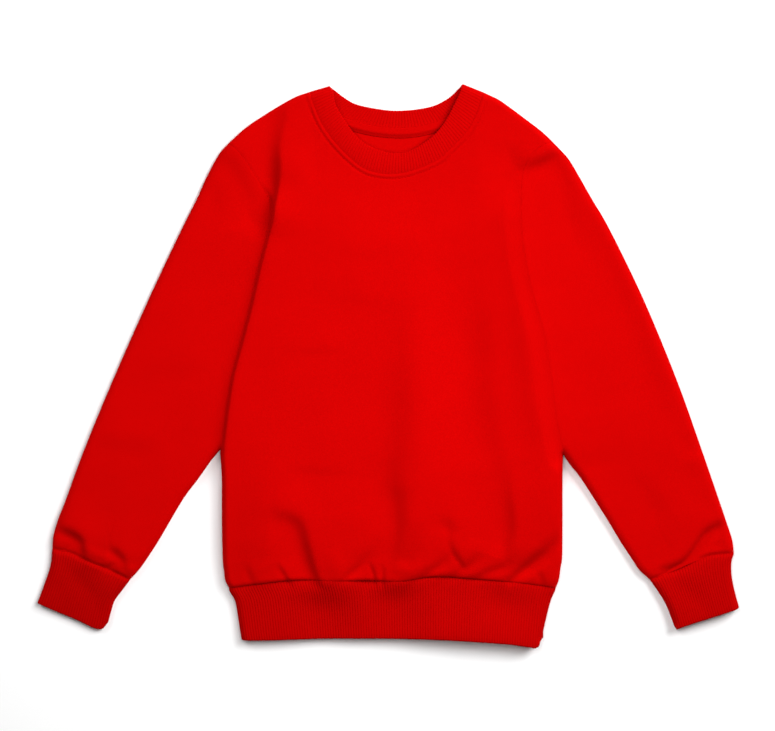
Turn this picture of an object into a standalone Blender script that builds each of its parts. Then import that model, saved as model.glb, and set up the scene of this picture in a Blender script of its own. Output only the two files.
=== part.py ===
"""A child's crewneck sweatshirt, laid flat on its back.

It has a front, a back, set-in sleeves, a neck tape, and doubled rib cuffs, hem band and collar.
Every piece is one closed cloth wall: an outer skin and an inner skin, joined round their edges.
A skin is a surface that gives a height to each place in the piece's plan.
All sizes are millimetres until a mesh is made. +X is the sweatshirt's width as it lies,
+Y runs from the hem to the collar and +Z is up.
"""
import bpy
import bmesh
import numpy as np

for old in list(bpy.data.objects):
    bpy.data.objects.remove(old, do_unlink=True)

MM = 0.001
STEP = 1e-6             # share of a surface's side over which its slope is read

# Cloth
FLEECE = 2.0            # thickness of the brushed fleece
RIB = 2.6               # thickness of the doubled rib
TAPE = 1.0              # thickness of the neck tape
TAPE_WIDTH = 6.5
TAPE_SHARES = (0.2, 0.8)    # where the tape starts and ends along the back neck
SEAM_GAP = 0.3          # what two sewn edges leave between them
RIB_RELIEF = 0.25       # how far a rib stands above, and its groove below, the rib cloth's face
LIP = 1.0               # how far the rounded fold of a doubled rib stands past its last row

# Heights above the surface that the sweatshirt lies on
EDGE_LEVEL = 4.0        # where the front meets the back, half way up the rolled edge
BACK_EDGE_LEVEL = EDGE_LEVEL - SEAM_GAP
HEM_TOP = 8.8
CUFF_TOP = 8.0
NECK_TOP = 9.3

# How wide the rolled edges are in plan
BODY_ROLL = 9.0
SLEEVE_ROLL = 7.0
RIB_ROLL = 7.0
BACK_ROLL = 5.0
ARMHOLE_ROLL = 9.0
SHOULDER_BLEND = 45.0   # over which the body rises from the armhole seam near the shoulder
# Distances up from the middle of the sweatshirt, where the body's edge begins to stand over the sleeve
# and where it stands over it in full
BODY_ROLL_STARTS = 170.0
BODY_ROLL_WHOLE = 130.0

# Ribs across the upper layer
HEM_RIBS = 119
CUFF_RIBS = 28
FRONT_COLLAR_RIBS = 82
BACK_COLLAR_RIBS = 50

# Rib bands: length from the seam to the fold, and the rough width over which a rolled edge is shared
HEM_LENGTH = 50.0
CUFF_LENGTH = 48.0
COLLAR_LENGTH = 19.0
HEM_WIDTH = 280.0
CUFF_WIDTH = 64.0
FRONT_COLLAR_WIDTH = 230.0
BACK_COLLAR_WIDTH = 170.0

# Outlines in plan, each run between two corners
LEFT_SIDE = [
    (-143, -200), (-146.4, -193.5), (-147.7, -184), (-148.8, -173), (-149.5, -139), (-149.6, -103),
    (-151, -76),
]
RIGHT_SIDE = [
    (151, -200), (153.8, -192.5), (155.3, -182), (156.8, -171), (157, -139), (157, -103), (157.5, -80.5),
]
LEFT_ARMHOLE = [
    (-151, -76), (-146.5, -40), (-141.5, -8.5), (-133, 23), (-125, 54.5), (-118, 86), (-110.5, 115),
    (-106, 133), (-107, 148), (-113.5, 161.5), (-124, 178), (-134, 192), (-143, 200.5),
]
RIGHT_ARMHOLE = [
    (157.5, -80.5), (150.5, -44.5), (146, -8.5), (140.5, 27.5), (131.5, 59), (125, 86),
    (120.5, 117.5), (119.5, 144.5), (120.5, 169), (125, 183), (134, 194.5), (147.5, 202),
]
LEFT_SHOULDER = [
    (-143, 200.5), (-128.5, 213.6), (-112.5, 224.6), (-95.5, 235), (-83, 241.8), (-71, 246),
]
RIGHT_SHOULDER = [
    (147.5, 202), (138, 210.8), (124.5, 221.2), (110, 232), (100, 239), (92.5, 242.7), (86.5, 245.5),
]
FRONT_NECK = [
    (-71, 246), (-69.6, 241), (-66.8, 234), (-60, 218), (-50, 203), (-35, 187), (-20, 176), (-3.5, 172),
    (12, 172.5), (28, 177), (44, 184), (56.5, 195), (70, 209), (78.5, 223.5), (82.8, 235.5),
    (84.7, 240.7), (86.5, 245.5),
]
BACK_NECK = [
    (-71, 246), (-69.6, 241), (-62.5, 234), (-50.5, 228), (-34, 221.5), (-16, 216.5), (5.5, 214),
    (25, 215), (45, 220), (61, 227.5), (75.5, 234.5), (84.7, 240.7), (86.5, 245.5),
]
FRONT_COLLAR_EDGE = [
    (-52, 251.5), (-48.5, 244.5), (-47, 234.5), (-40.5, 223), (-31.5, 210), (-22.5, 201), (-9, 194),
    (7, 190.5), (20, 193), (33.5, 201), (44, 210), (52, 221), (59.5, 235.5), (65, 247), (66.5, 253.5),
]
BACK_COLLAR_EDGE = [
    (-52, 251.5), (-47, 247.4), (-38, 240.4), (-29, 235.4), (-14.5, 231.9), (4.5, 229.4),
    (24.5, 230.4), (41.5, 233.9), (54, 240.4), (62, 247.8), (66.5, 253.5),
]
LEFT_SLEEVE_OUTER = [
    (-143, 200.5), (-151.5, 191), (-162.5, 171), (-172.5, 149), (-186, 122), (-215.7, 59), (-247.5, -13),
    (-273.5, -76), (-290, -121), (-297, -139), (-301.2, -154), (-302, -165),
]
LEFT_SLEEVE_INNER = [
    (-151, -76), (-158.7, -85), (-171.5, -103), (-184.8, -121), (-206, -157), (-217.7, -175),
    (-224.2, -184), (-232.5, -193),
]
RIGHT_SLEEVE_OUTER = [
    (147.5, 202), (157, 192.2), (163.5, 184.5), (171.5, 171), (184, 149), (199.7, 122), (230.2, 59),
    (259.9, -13), (282.4, -76), (297.9, -121), (304, -139), (309.8, -157), (311.3, -169),
]
RIGHT_SLEEVE_INNER = [
    (157.5, -80.5), (164, -89.5), (174.5, -103), (197.5, -139), (208.3, -157), (220, -175), (226.2, -184),
    (236, -193),
]
LEFT_CUFF_SEAM = [(-302, -165), (-285.5, -169), (-268, -177), (-251, -184), (-232.5, -193)]
RIGHT_CUFF_SEAM = [(311.3, -169), (290.5, -171), (274.5, -177), (258.5, -184), (236, -193)]
LEFT_CUFF_OUTER = [(-302, -165), (-303.5, -180), (-309, -197), (-315.5, -214.5)]
RIGHT_CUFF_OUTER = [(311.3, -169), (308.9, -177), (309.2, -190), (312, -204), (315.8, -218)]
LEFT_CUFF_INNER = [(-232.5, -193), (-239.3, -202), (-246, -211), (-249, -220), (-252.3, -232)]
RIGHT_CUFF_INNER = [(236, -193), (242.2, -202), (248, -211), (252.3, -220), (257, -232.5)]
LEFT_CUFF_END = [
    (-315.5, -214.5), (-299.5, -221.5), (-279, -230), (-266, -236.3), (-258, -237.5), (-252.3, -232),
]
RIGHT_CUFF_END = [
    (315.8, -218), (294.5, -225.2), (276.5, -230.8), (263, -235.3), (259, -236), (257, -232.5),
]
HEM_SEAM = [
    (-143, -200), (-112.5, -196), (-79, -193), (-34, -193.5), (11, -193.5), (42.5, -190),
    (83, -192.5), (119, -195.5), (151, -200),
]
HEM_LEFT = [(-143, -200), (-142.2, -203.5), (-138, -210.5), (-135.8, -220), (-133, -238), (-131.5, -247)]
HEM_RIGHT = [(151, -200), (149.8, -203.5), (146.3, -211.5), (142, -228), (138.3, -245)]
HEM_END = [
    (-131.5, -247), (-106, -247), (-43, -245.4), (38, -246.5), (101, -250.4), (125, -253.2), (133, -253.4),
    (138.3, -245),
]

# How the pieces are divided
UNDERARM = 0.30         # share of the panels' height at the underarm
EDGE_SHARE = 0.034      # share of the body's width that its rolled edge takes
ARMHOLE_EDGE_SHARE = 0.027
ARMHOLE_STEPS = 10
FRONT_STEPS = 34        # columns between the rolled edges
FRONT_NECK_STEPS = (8, 26)      # the columns at which the neck starts and ends
BACK_STEPS = 16
BACK_NECK_STEPS = (4, 12)
CUFF_BACK_STEPS = 4
CUFF_EDGE_SHARE = 0.1
BACK_COLLAR_EDGE_SHARE = 0.04
SIDE_FADE = 4           # how fast the bend of the sides dies away towards the middle of a panel
SIDE_ROWS = [0, 0.04, 0.09, 0.15, 0.22, 0.32, 0.45, 0.62, 0.8]     # shares of the side seam
BACK_SIDE_ROWS = [0, 0.3, 0.65]
ROWS_LEFT_OUT_INSIDE = [1, 3, 5]
SLEEVE_ROWS = [0, 0.04, 0.1, 0.18, 0.27, 0.36, 0.46, 0.56, 0.66, 0.75, 0.83, 0.9, 0.95, 1]
RIB_ROWS = (0, 0.34, 0.67, 1)
RIB_INSIDE_ROWS = (0, 0.5, 1)
RIB_COLUMNS_TO_ONE_INSIDE = 6
TAPE_COLUMNS = 13
EDGE_ANGLES = (0, 20, 40, 62, 90)   # degrees round a rolled edge at which it has a column
FOLD_STEPS = 4          # places between two points of a fold's line

# Height of the body's upper face along its length: share of the length from the hem, height
BODY_HEIGHTS = [
    (0.0, HEM_TOP), (0.05, 10.8), (0.15, 12.2), (0.45, 12.8), (0.75, 12.0), (0.9, 10.6), (1.0, NECK_TOP),
]
# Height of the sleeves' upper face: distance up from the middle of the sweatshirt, height
SLEEVE_HEIGHTS = [(-200, CUFF_TOP), (-100, 8.2), (80, 7.6), (140, 7.8), (200, 8.5)]

# Folds in the front: depth (a ridge is negative), half width, then the line that it follows
FRONT_FOLDS = [
    (3.0, 6.0, [(-92, 205), (-93, 185), (-98, 160), (-104, 135)]),
    (1.4, 12.0, [(6, 50), (11, -13), (2, -58), (8, -121), (6, -162), (2, -188)]),
    (-0.8, 14.0, [(42, 60), (42, -20), (42, -110)]),
    (1.0, 14.0, [(89, 215), (96, 158), (78, 117), (78, 59), (83, 14)]),
    (1.4, 7.0, [(107, -115), (113, -160)]),
    (2.0, 5.0, [(-96, -138), (-75, -146), (-75, -160), (-69, -178), (-62, -188)]),
    (1.0, 4.0, [(-95, -178), (-92, -188)]),
    (1.5, 5.0, [(-12, -164), (-28, -183), (-44, -187)]),
    (1.5, 5.0, [(29, -149), (13, -178)]),
    (1.6, 5.0, [(54, -164), (27, -190)]),
    (1.4, 5.0, [(84, -169), (63, -186)]),
    (1.2, 4.5, [(100, -180), (82, -188)]),
    (1.4, 5.0, [(148, -162), (125, -183)]),
]
SLEEVE_FOLDS = [
    (1.4, 9.0, [(-151, 185), (-140, 160), (-120, 140)]),
    (1.4, 7.0, [(122, 175), (138, 186), (152, 193)]),
    (1.2, 6.0, [(-292, -150), (-275, -160), (-275, -172)]),
    (1.0, 5.0, [(-248, -166), (-238, -178)]),
    (1.2, 6.0, [(296, -146), (282, -160), (278, -170)]),
]

# Colours (linear red, green, blue)
BODY_RED = (0.76, 0.003, 0.002)
RIB_RED = (0.60, 0.003, 0.002)
CLOTH_ROUGHNESS = 0.95


def smooth_line(points, steps=8):
    """A smooth dense line through the points (Catmull-Rom)."""
    points = np.array(points, float)
    padded = np.vstack([2 * points[0] - points[1], points, 2 * points[-1] - points[-2]])
    t = np.linspace(0, 1, steps, endpoint=False)[:, None]
    runs = []
    for before, start, end, after in zip(padded, padded[1:], padded[2:], padded[3:]):
        bend = (2 * before - 5 * start + 4 * end - after) * t ** 2
        twist = (3 * start - before - 3 * end + after) * t ** 3
        runs.append(0.5 * (2 * start + (end - before) * t + bend + twist))
    return np.vstack(runs + [points[-1:]])


def lengths_along(line):
    return np.concatenate([[0], np.cumsum(np.linalg.norm(np.diff(line, axis=0), axis=1))])


def at_share(line, share):
    """Places on a line at shares of its length."""
    lengths = lengths_along(line)
    at = np.asarray(share) * lengths[-1]
    return np.stack([np.interp(at, lengths, line[:, axis]) for axis in (0, 1)], axis=-1)


def shifted(line, distance):
    """The line moved to its left (seen along it) by a distance."""
    runs = np.diff(line, axis=0)
    runs /= np.linalg.norm(runs, axis=1)[:, None]
    sides = np.stack([-runs[:, 1], runs[:, 0]], axis=1)
    before = np.vstack([sides[:1], sides])
    after = np.vstack([sides, sides[-1:]])
    mean = before + after
    mean *= (2 / np.sum(mean * mean, axis=1))[:, None]
    return line + mean * distance


def distance_to(places, line):
    """Shortest distance in plan from each place to a line."""
    starts, runs = line[:-1], np.diff(line, axis=0)
    offsets = places[..., None, :] - starts
    share = np.clip(np.sum(offsets * runs, -1) / np.sum(runs * runs, -1), 0, 1)
    gaps = offsets - share[..., None] * runs
    return np.sqrt(np.min(np.sum(gaps * gaps, -1), axis=-1))


def roll(distance, width):
    """How far a rolled edge has risen at a distance from the edge: a quarter of an ellipse, 0 to 1."""
    share = np.clip(distance / width, 0, 1)
    return np.sqrt(1 - (1 - share) ** 2)


def ease(share):
    share = np.clip(share, 0, 1)
    return share * share * (3 - 2 * share)


def read_table(table, at):
    places, values = zip(*table)
    return np.interp(at, places, values)


def fold_depth(places, folds):
    depth = np.zeros(places.shape[:-1])
    for deepest, width, line in folds:
        depth += deepest * np.exp(-(distance_to(places, smooth_line(line, FOLD_STEPS)) / width) ** 2)
    return depth


def plan_between(bottom, top, left, right, fade=1):
    """Fill four edges. Each edge gives its place at a share, left to right or bottom to top.

    fade says how fast the bend of the left and right edges dies away towards the middle.
    """
    low, high = np.array(0.0), np.array(1.0)

    def bend(edge, v, start, end):
        return edge(v) - (1 - v[..., None]) * start - v[..., None] * end

    def plan(u, v):
        across, up = u[..., None], v[..., None]
        straight = (1 - up) * bottom(u) + up * top(u)
        return (straight + (1 - across) ** fade * bend(left, v, bottom(low), top(low))
                + across ** fade * bend(right, v, bottom(high), top(high)))
    return plan


def edge_cluster(width_share):
    """Shares across a rolled edge, close together where it is steep."""
    return width_share * (1 - np.cos(np.radians(EDGE_ANGLES)))


def clustered(width_share, columns):
    """Shares from 0 to 1 with a cluster at both ends and even steps between."""
    edge = edge_cluster(width_share)
    middle = np.linspace(width_share, 1 - width_share, columns + 1)[1:-1]
    return np.concatenate([edge, middle, 1 - edge[::-1]])


def unit(vectors):
    return vectors / np.maximum(np.linalg.norm(vectors, axis=-1), 1e-12)[..., None]


def across_seam(plan, share, v):
    """The level direction that crosses a plan's seam at a share along it."""
    start, end = np.maximum(share - STEP, 0), np.minimum(share + STEP, 1)
    along = plan(end, v) - plan(start, v)
    return unit(np.stack([-along[..., 1], along[..., 0], np.zeros(share.shape)], axis=-1))


def skin(shape, us, vs, depth):
    """Points of one face of a cloth wall, depth below its outer surface along the normal.

    The shape's outward is 1 where its u and v turn left about its outside, else -1.
    It is closed where u runs round it. Where its cut is not zero, the wall's edge is made square to that
    direction.
    """
    u, v = np.meshgrid(us, vs)
    low, high = (-np.inf, np.inf) if shape.closed else (0, 1)
    before, after = np.maximum(u - STEP, low), np.minimum(u + STEP, high)
    along_u = shape.surface(after, v) - shape.surface(before, v)
    along_v = shape.surface(u, np.minimum(v + STEP, 1)) - shape.surface(u, np.maximum(v - STEP, 0))
    normal = unit(np.cross(along_u, along_v)) * shape.outward
    cut = shape.cut(u, v)
    normal = unit(normal - np.sum(normal * cut, -1)[..., None] * cut)
    return shape.surface(u, v) - normal * np.broadcast_to(depth, u.shape)[..., None]


def zipped(first, second, first_at, second_at):
    """Triangles between two rows of vertices whose numbers differ, by where they lie along the rows."""
    triangles = []
    i = j = 0
    while i < len(first) - 1 or j < len(second) - 1:
        take_first = j == len(second) - 1 or (i < len(first) - 1 and first_at[i + 1] <= second_at[j + 1])
        if take_first:
            triangles.append((first[i], first[i + 1], second[j]))
            i += 1
        else:
            triangles.append((first[i], second[j + 1], second[j]))
            j += 1
    return triangles


def grid_faces(numbers):
    quads = []
    for low, high in zip(numbers, numbers[1:]):
        quads += zip(low, low[1:], high[1:], high)
    return quads


def make_wall(name, outer, inner, outer_at, inner_at, ring, lip=None):
    """One closed solid from two skins. outer_at and inner_at are their (us, vs).

    lip, where given, is a row of points past the last row, round which the wall turns.
    """
    points = [outer.reshape(-1, 3), inner.reshape(-1, 3)]
    outer_numbers = np.arange(outer.shape[0] * outer.shape[1]).reshape(outer.shape[:2])
    inner_numbers = outer_numbers.size + np.arange(inner.shape[0] * inner.shape[1]).reshape(inner.shape[:2])
    outer_us, inner_us = outer_at[0], inner_at[0]
    lip_numbers = None
    if lip is not None:
        points.append(lip)
        lip_numbers = outer_numbers.size + inner_numbers.size + np.arange(len(lip))
    if ring:
        outer_numbers = np.hstack([outer_numbers, outer_numbers[:, :1]])
        inner_numbers = np.hstack([inner_numbers, inner_numbers[:, :1]])
        outer_us = np.append(outer_us, 1.0)
        inner_us = np.append(inner_us, 1.0)
        if lip is not None:
            lip_numbers = np.append(lip_numbers, lip_numbers[0])
    faces = grid_faces(outer_numbers) + grid_faces(inner_numbers)
    faces += zipped(outer_numbers[0], inner_numbers[0], outer_us, inner_us)
    if lip is None:
        faces += zipped(outer_numbers[-1], inner_numbers[-1], outer_us, inner_us)
    else:
        faces += zipped(outer_numbers[-1], lip_numbers, outer_us, inner_us)
        faces += grid_faces(np.array([lip_numbers, inner_numbers[-1]]))
    if not ring:
        for column in (0, -1):
            faces += zipped(outer_numbers[:, column], inner_numbers[:, column], outer_at[1], inner_at[1])
    mesh = bpy.data.meshes.new(name)
    vertices = np.vstack(points) * MM
    mesh.from_pydata(vertices.tolist(), [], [tuple(int(n) for n in face) for face in faces])
    shell = bmesh.new()
    shell.from_mesh(mesh)
    bmesh.ops.recalc_face_normals(shell, faces=shell.faces)
    shell.to_mesh(mesh)
    shell.free()
    return bpy.data.objects.new(name, mesh)


def cloth_material(name, colour):
    material = bpy.data.materials.new(name)
    material.use_nodes = True
    shader = material.node_tree.nodes["Principled BSDF"]
    shader.inputs["Base Color"].default_value = (*colour, 1)
    shader.inputs["Roughness"].default_value = CLOTH_ROUGHNESS
    shader.inputs["Metallic"].default_value = 0.0
    material.diffuse_color = (*colour, 1)
    return material


def add_piece(collection, piece, colour):
    piece.data.materials.append(cloth_material(piece.name + "_cloth", colour))
    collection.objects.link(piece)
    return piece


class Edge:
    """A seam's line in plan, straight between the places that both sewn pieces share."""

    def __init__(self, points, at):
        self.points = points
        self.at = at

    def __call__(self, share):
        return np.stack([np.interp(share, self.at, self.points[:, axis]) for axis in (0, 1)], axis=-1)

    def moved(self, distance):
        return Edge(shifted(self.points, distance), self.at)


def edge_from(table, shares):
    return Edge(at_share(smooth_line(table), shares), shares)


def from_point(table, start):
    """The smooth line of a table whose first point is moved to start."""
    return smooth_line([tuple(start)] + table[1:])


def on_line(line):
    return lambda share: at_share(line, share)


SIDES = [smooth_line(LEFT_SIDE), smooth_line(RIGHT_SIDE)]
SHOULDERS = [smooth_line(LEFT_SHOULDER), smooth_line(RIGHT_SHOULDER)]
ARMHOLE_SHARES = clustered(ARMHOLE_EDGE_SHARE, ARMHOLE_STEPS)
ARMHOLES = [edge_from(LEFT_ARMHOLE, ARMHOLE_SHARES), edge_from(RIGHT_ARMHOLE, ARMHOLE_SHARES)]
HEM = edge_from(HEM_SEAM, clustered(EDGE_SHARE, FRONT_STEPS))


class Panel:
    """The front or the back in plan: its columns, the neck's place among them, and its four edges."""

    closed = False

    def __init__(self, columns, corner_columns, neck_table, side_rows, outward):
        self.us = clustered(EDGE_SHARE, columns)
        self.outward = outward
        first = len(edge_cluster(1)) - 1
        low, high = (self.us[first + column] for column in corner_columns)
        self.corners = low, high
        neck_columns = self.us[(self.us >= low) & (self.us <= high)]
        self.neck = edge_from(neck_table, (neck_columns - low) / (high - low))
        armhole_rows = UNDERARM + (1 - UNDERARM) * ARMHOLE_SHARES
        self.vs = np.concatenate([UNDERARM * np.array(side_rows), armhole_rows])
        self.plan = plan_between(HEM, self.top, lambda v: self.side(0, v), lambda v: self.side(1, v),
                                 SIDE_FADE)

    def side(self, number, v):
        seam = at_share(SIDES[number], np.clip(v / UNDERARM, 0, 1))
        armhole = ARMHOLES[number](np.clip((v - UNDERARM) / (1 - UNDERARM), 0, 1))
        return np.where((v < UNDERARM)[..., None], seam, armhole)

    def top(self, u):
        low, high = self.corners
        left = at_share(SHOULDERS[0], np.clip(u / low, 0, 1))
        right = at_share(SHOULDERS[1], np.clip((1 - u) / (1 - high), 0, 1))
        neck = self.neck(np.clip((u - low) / (high - low), 0, 1))
        return np.where((u < low)[..., None], left, np.where((u > high)[..., None], right, neck))

    def cut(self, u, v):
        """Square edges along the hem, the neck and the armholes near the shoulder, and none elsewhere."""
        low, high = self.corners
        at_neck = (v == 1) & (u >= low) & (u <= high)
        at_armhole = ((u == 0) | (u == 1)) & (self.plan(u, v)[..., 1] > BODY_ROLL_STARTS)
        neck = across_seam(self.plan, np.clip(u, low + 2 * STEP, high - 2 * STEP), v)
        armhole = across_seam(lambda share, side: self.plan(side, share), v, u)
        across = np.where((v == 0)[..., None], across_seam(self.plan, u, v), 0)
        across = np.where(at_neck[..., None], neck, across)
        return np.where(at_armhole[..., None], armhole, across)

    def edge_distance(self, places):
        return np.min([distance_to(places, line) for line in SIDES + SHOULDERS], axis=0)


class Front(Panel):
    """The front: it rises over the sleeves' edges, crowns gently and carries the largest folds."""

    def surface(self, u, v):
        places = self.plan(u, v)
        turned = ease((BODY_ROLL_STARTS - places[..., 1]) / (BODY_ROLL_STARTS - BODY_ROLL_WHOLE))
        risen = 1.0
        for armhole in ARMHOLES:
            inward = distance_to(places, armhole.points)
            rolled, blended = roll(inward, ARMHOLE_ROLL), ease(inward / SHOULDER_BLEND)
            risen = risen * (turned * rolled + (1 - turned) * blended)
        start = sleeve_level(places) - FLEECE * turned
        height = start + (read_table(BODY_HEIGHTS, v) - start) * risen - fold_depth(places, FRONT_FOLDS)
        height = EDGE_LEVEL + (height - EDGE_LEVEL) * roll(self.edge_distance(places), BODY_ROLL)
        return with_height(places, height)


class Back(Panel):
    """The back: flat on the surface, with its edges rolled up to meet the front."""

    def surface(self, u, v):
        places = self.plan(u, v)
        return with_height(places, BACK_EDGE_LEVEL * (1 - roll(self.edge_distance(places), BACK_ROLL)))


class Tube:
    """A flattened tube. u runs over the upper layer and back under it, and turns at the lines folds_at."""

    closed = True

    def __init__(self, top_plan, low_plan, top_height, folds_at, edge_roll, outward, ends):
        self.top_plan = top_plan
        self.low_plan = low_plan
        self.top_height = top_height
        self.folds_at = folds_at
        self.edge_roll = edge_roll
        self.outward = outward
        self.ends = ends

    def edge_distance(self, places):
        return np.min([distance_to(places, line) for line in self.folds_at], axis=0)

    def surface(self, u, v):
        share = 1 - np.abs(1 - 2 * (u % 1))
        top, low = self.top_plan(share, v), self.low_plan(share, v)
        risen = roll(self.edge_distance(top), self.edge_roll)
        top_z = EDGE_LEVEL + (self.top_height(top) - EDGE_LEVEL) * risen
        low_z = EDGE_LEVEL * (1 - roll(self.edge_distance(low), BACK_ROLL))
        above = (u % 1) < 0.5
        return with_height(np.where(above[..., None], top, low), np.where(above, top_z, low_z))

    def cut(self, u, v):
        """Square edges at the ends that are sewn."""
        share = 1 - np.abs(1 - 2 * (u % 1))
        above = ((u % 1) < 0.5)[..., None]
        across = np.where(above, across_seam(self.top_plan, share, v), across_seam(self.low_plan, share, v))
        return np.where(np.isin(v, self.ends)[..., None], across, 0)


def sleeve_level(places):
    return read_table(SLEEVE_HEIGHTS, places[..., 1])


def with_height(places, heights):
    return np.concatenate([places, heights[..., None]], axis=-1)


def panel_piece(name, panel, inner_vs):
    outer = skin(panel, panel.us, panel.vs, 0.0)
    inner = skin(panel, panel.us, inner_vs, FLEECE)
    return make_wall(name, outer, inner, (panel.us, panel.vs), (panel.us, inner_vs), False)


def tube_columns(top_shares, low_shares):
    """Columns round a tube, from shares across its upper and its lower layer."""
    return np.concatenate([top_shares / 2, 1 - low_shares[1:-1][::-1] / 2])


def sleeve(name, number, outer_table, inner_table, cuff_table):
    """A sleeve: a tube from the armhole to the cuff. Returns it with its cuff seam."""
    away = 1 if number == 0 else -1
    armhole = ARMHOLES[number].moved(SEAM_GAP * away)
    outer_line = from_point(outer_table, armhole.points[-1])
    inner_line = from_point(inner_table, armhole.points[0])
    shares = 1 - ARMHOLE_SHARES[::-1]
    cuff = edge_from(cuff_table, shares)
    plan = plan_between(lambda s: armhole(1 - s), cuff, on_line(outer_line), on_line(inner_line))
    tube = Tube(plan, plan, lambda places: sleeve_level(places) - fold_depth(places, SLEEVE_FOLDS),
                [outer_line, inner_line], SLEEVE_ROLL, -away, (0, 1))
    us, vs = tube_columns(shares, shares), np.array(SLEEVE_ROWS)
    inner_vs = np.append(vs[:-1:2], 1.0)
    outer, inner = skin(tube, us, vs, 0.0), skin(tube, us, inner_vs, FLEECE)
    return make_wall(name, outer, inner, (us, vs), (us, inner_vs), True), cuff


def rib_shares(ribs, edge_share):
    """Shares across a layer of rib, two to each rib, and how far each stands from the cloth's face."""
    edge = edge_cluster(edge_share)
    middle = np.linspace(edge_share, 1 - edge_share, 2 * ribs + 1)
    shares = np.concatenate([edge[:-1], middle, 1 - edge[-2::-1]])
    relief = np.where(np.arange(len(middle)) % 2 == 1, RIB_RELIEF, -RIB_RELIEF)
    ends = np.zeros(len(edge) - 1)
    return shares, np.concatenate([ends, relief, ends])


def inside_shares(shares):
    """Fewer shares for the plain inside of a ribbed layer."""
    edge_points = len(EDGE_ANGLES) - 1
    middle = shares[edge_points:-edge_points][::RIB_COLUMNS_TO_ONE_INSIDE]
    return np.concatenate([shares[:edge_points], middle, shares[-edge_points:]])


def plain(shares):
    return shares, np.zeros(len(shares))


def rib_band(name, tube, top, low, length, low_inside=None):
    """A doubled rib band: a tube sewn on at its first row, with a rounded fold at its last.

    top and low are (shares, relief) across the two layers.
    low_inside, where given, is the same for the lower layer's inside, which then carries the ribs.
    """
    last = 1 - LIP / length
    vs, inner_vs = np.array(RIB_ROWS) * last, np.array(RIB_INSIDE_ROWS) * last
    us = tube_columns(top[0], low[0])
    relief = np.concatenate([top[1], low[1][1:-1][::-1]])
    inner_top = inside_shares(top[0])
    inner_low = low if low_inside is None else low_inside
    inner_us = tube_columns(inner_top, inner_low[0])
    inner_relief = np.concatenate([np.zeros(len(inner_top)), inner_low[1][1:-1][::-1]])
    outer = skin(tube, us, vs, -relief)
    inner = skin(tube, inner_us, inner_vs, RIB + inner_relief)
    end = np.full_like(inner_us, last)
    face = tube.surface(inner_us, end)
    ahead = unit((tube.surface(inner_us, end + STEP) - face) * [1, 1, 0])
    lip = (face + inner[-1]) / 2 + LIP * ahead
    return make_wall(name, outer, inner, (us, vs), (inner_us, inner_vs), True, lip)


def hem_band():
    seam = HEM.moved(-SEAM_GAP)
    left = from_point(HEM_LEFT, seam.points[0])
    right = from_point(HEM_RIGHT, seam.points[-1])
    plan = plan_between(seam, on_line(smooth_line(HEM_END)), on_line(left), on_line(right))
    tube = Tube(plan, plan, lambda places: HEM_TOP, [left, right], RIB_ROLL, -1, (0,))
    low = plain(clustered(EDGE_SHARE, BACK_STEPS))
    return rib_band("hem_band", tube, rib_shares(HEM_RIBS, RIB_ROLL / HEM_WIDTH), low, HEM_LENGTH)


def cuff_band(name, number, seam, outer_table, inner_table, end_table):
    away = 1 if number == 0 else -1
    seam = seam.moved(-SEAM_GAP * away)
    outer_line = from_point(outer_table, seam.points[0])
    inner_line = from_point(inner_table, seam.points[-1])
    plan = plan_between(seam, on_line(smooth_line(end_table)), on_line(outer_line), on_line(inner_line))
    tube = Tube(plan, plan, lambda places: CUFF_TOP, [outer_line, inner_line], RIB_ROLL, -away, (0,))
    low = plain(clustered(CUFF_EDGE_SHARE, CUFF_BACK_STEPS))
    return rib_band(name, tube, rib_shares(CUFF_RIBS, RIB_ROLL / CUFF_WIDTH), low, CUFF_LENGTH)


def neckband(front, back):
    """The collar: a ring that lies on the front at one level and on the back at another."""
    front_seam, back_seam = front.neck.moved(SEAM_GAP), back.neck.moved(SEAM_GAP)
    ends = (front_seam.points[[0, -1]] + back_seam.points[[0, -1]]) / 2
    front_seam.points[[0, -1]] = ends
    back_seam.points[[0, -1]] = ends
    tips = FRONT_COLLAR_EDGE[0], FRONT_COLLAR_EDGE[-1]
    folds_at = [np.array([end, tip]) for end, tip in zip(ends, tips)]
    front_edge, back_edge = smooth_line(FRONT_COLLAR_EDGE), smooth_line(BACK_COLLAR_EDGE)

    def across(seam, edge):
        return lambda s, v: (1 - v[..., None]) * seam(s) + v[..., None] * at_share(edge, s)

    tube = Tube(across(front_seam, front_edge), across(back_seam, back_edge), lambda places: NECK_TOP,
                folds_at, RIB_ROLL, 1, (0,))
    edge = edge_cluster(BACK_COLLAR_EDGE_SHARE)
    low = plain(np.unique(np.concatenate([back.neck.at, edge, 1 - edge])))
    front_ribs = rib_shares(FRONT_COLLAR_RIBS, RIB_ROLL / FRONT_COLLAR_WIDTH)
    back_ribs = rib_shares(BACK_COLLAR_RIBS, RIB_ROLL / BACK_COLLAR_WIDTH)
    return rib_band("neckband", tube, front_ribs, low, COLLAR_LENGTH, back_ribs)


class Strip:
    """A level strip between two lines."""

    closed = False
    outward = 1

    def __init__(self, lower, upper, height):
        self.lower = lower
        self.upper = upper
        self.height = height

    def surface(self, u, v):
        places = (1 - v[..., None]) * self.lower(u) + v[..., None] * self.upper(u)
        return with_height(places, np.full(u.shape, self.height))

    def cut(self, u, v):
        return np.zeros(u.shape + (3,))


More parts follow.
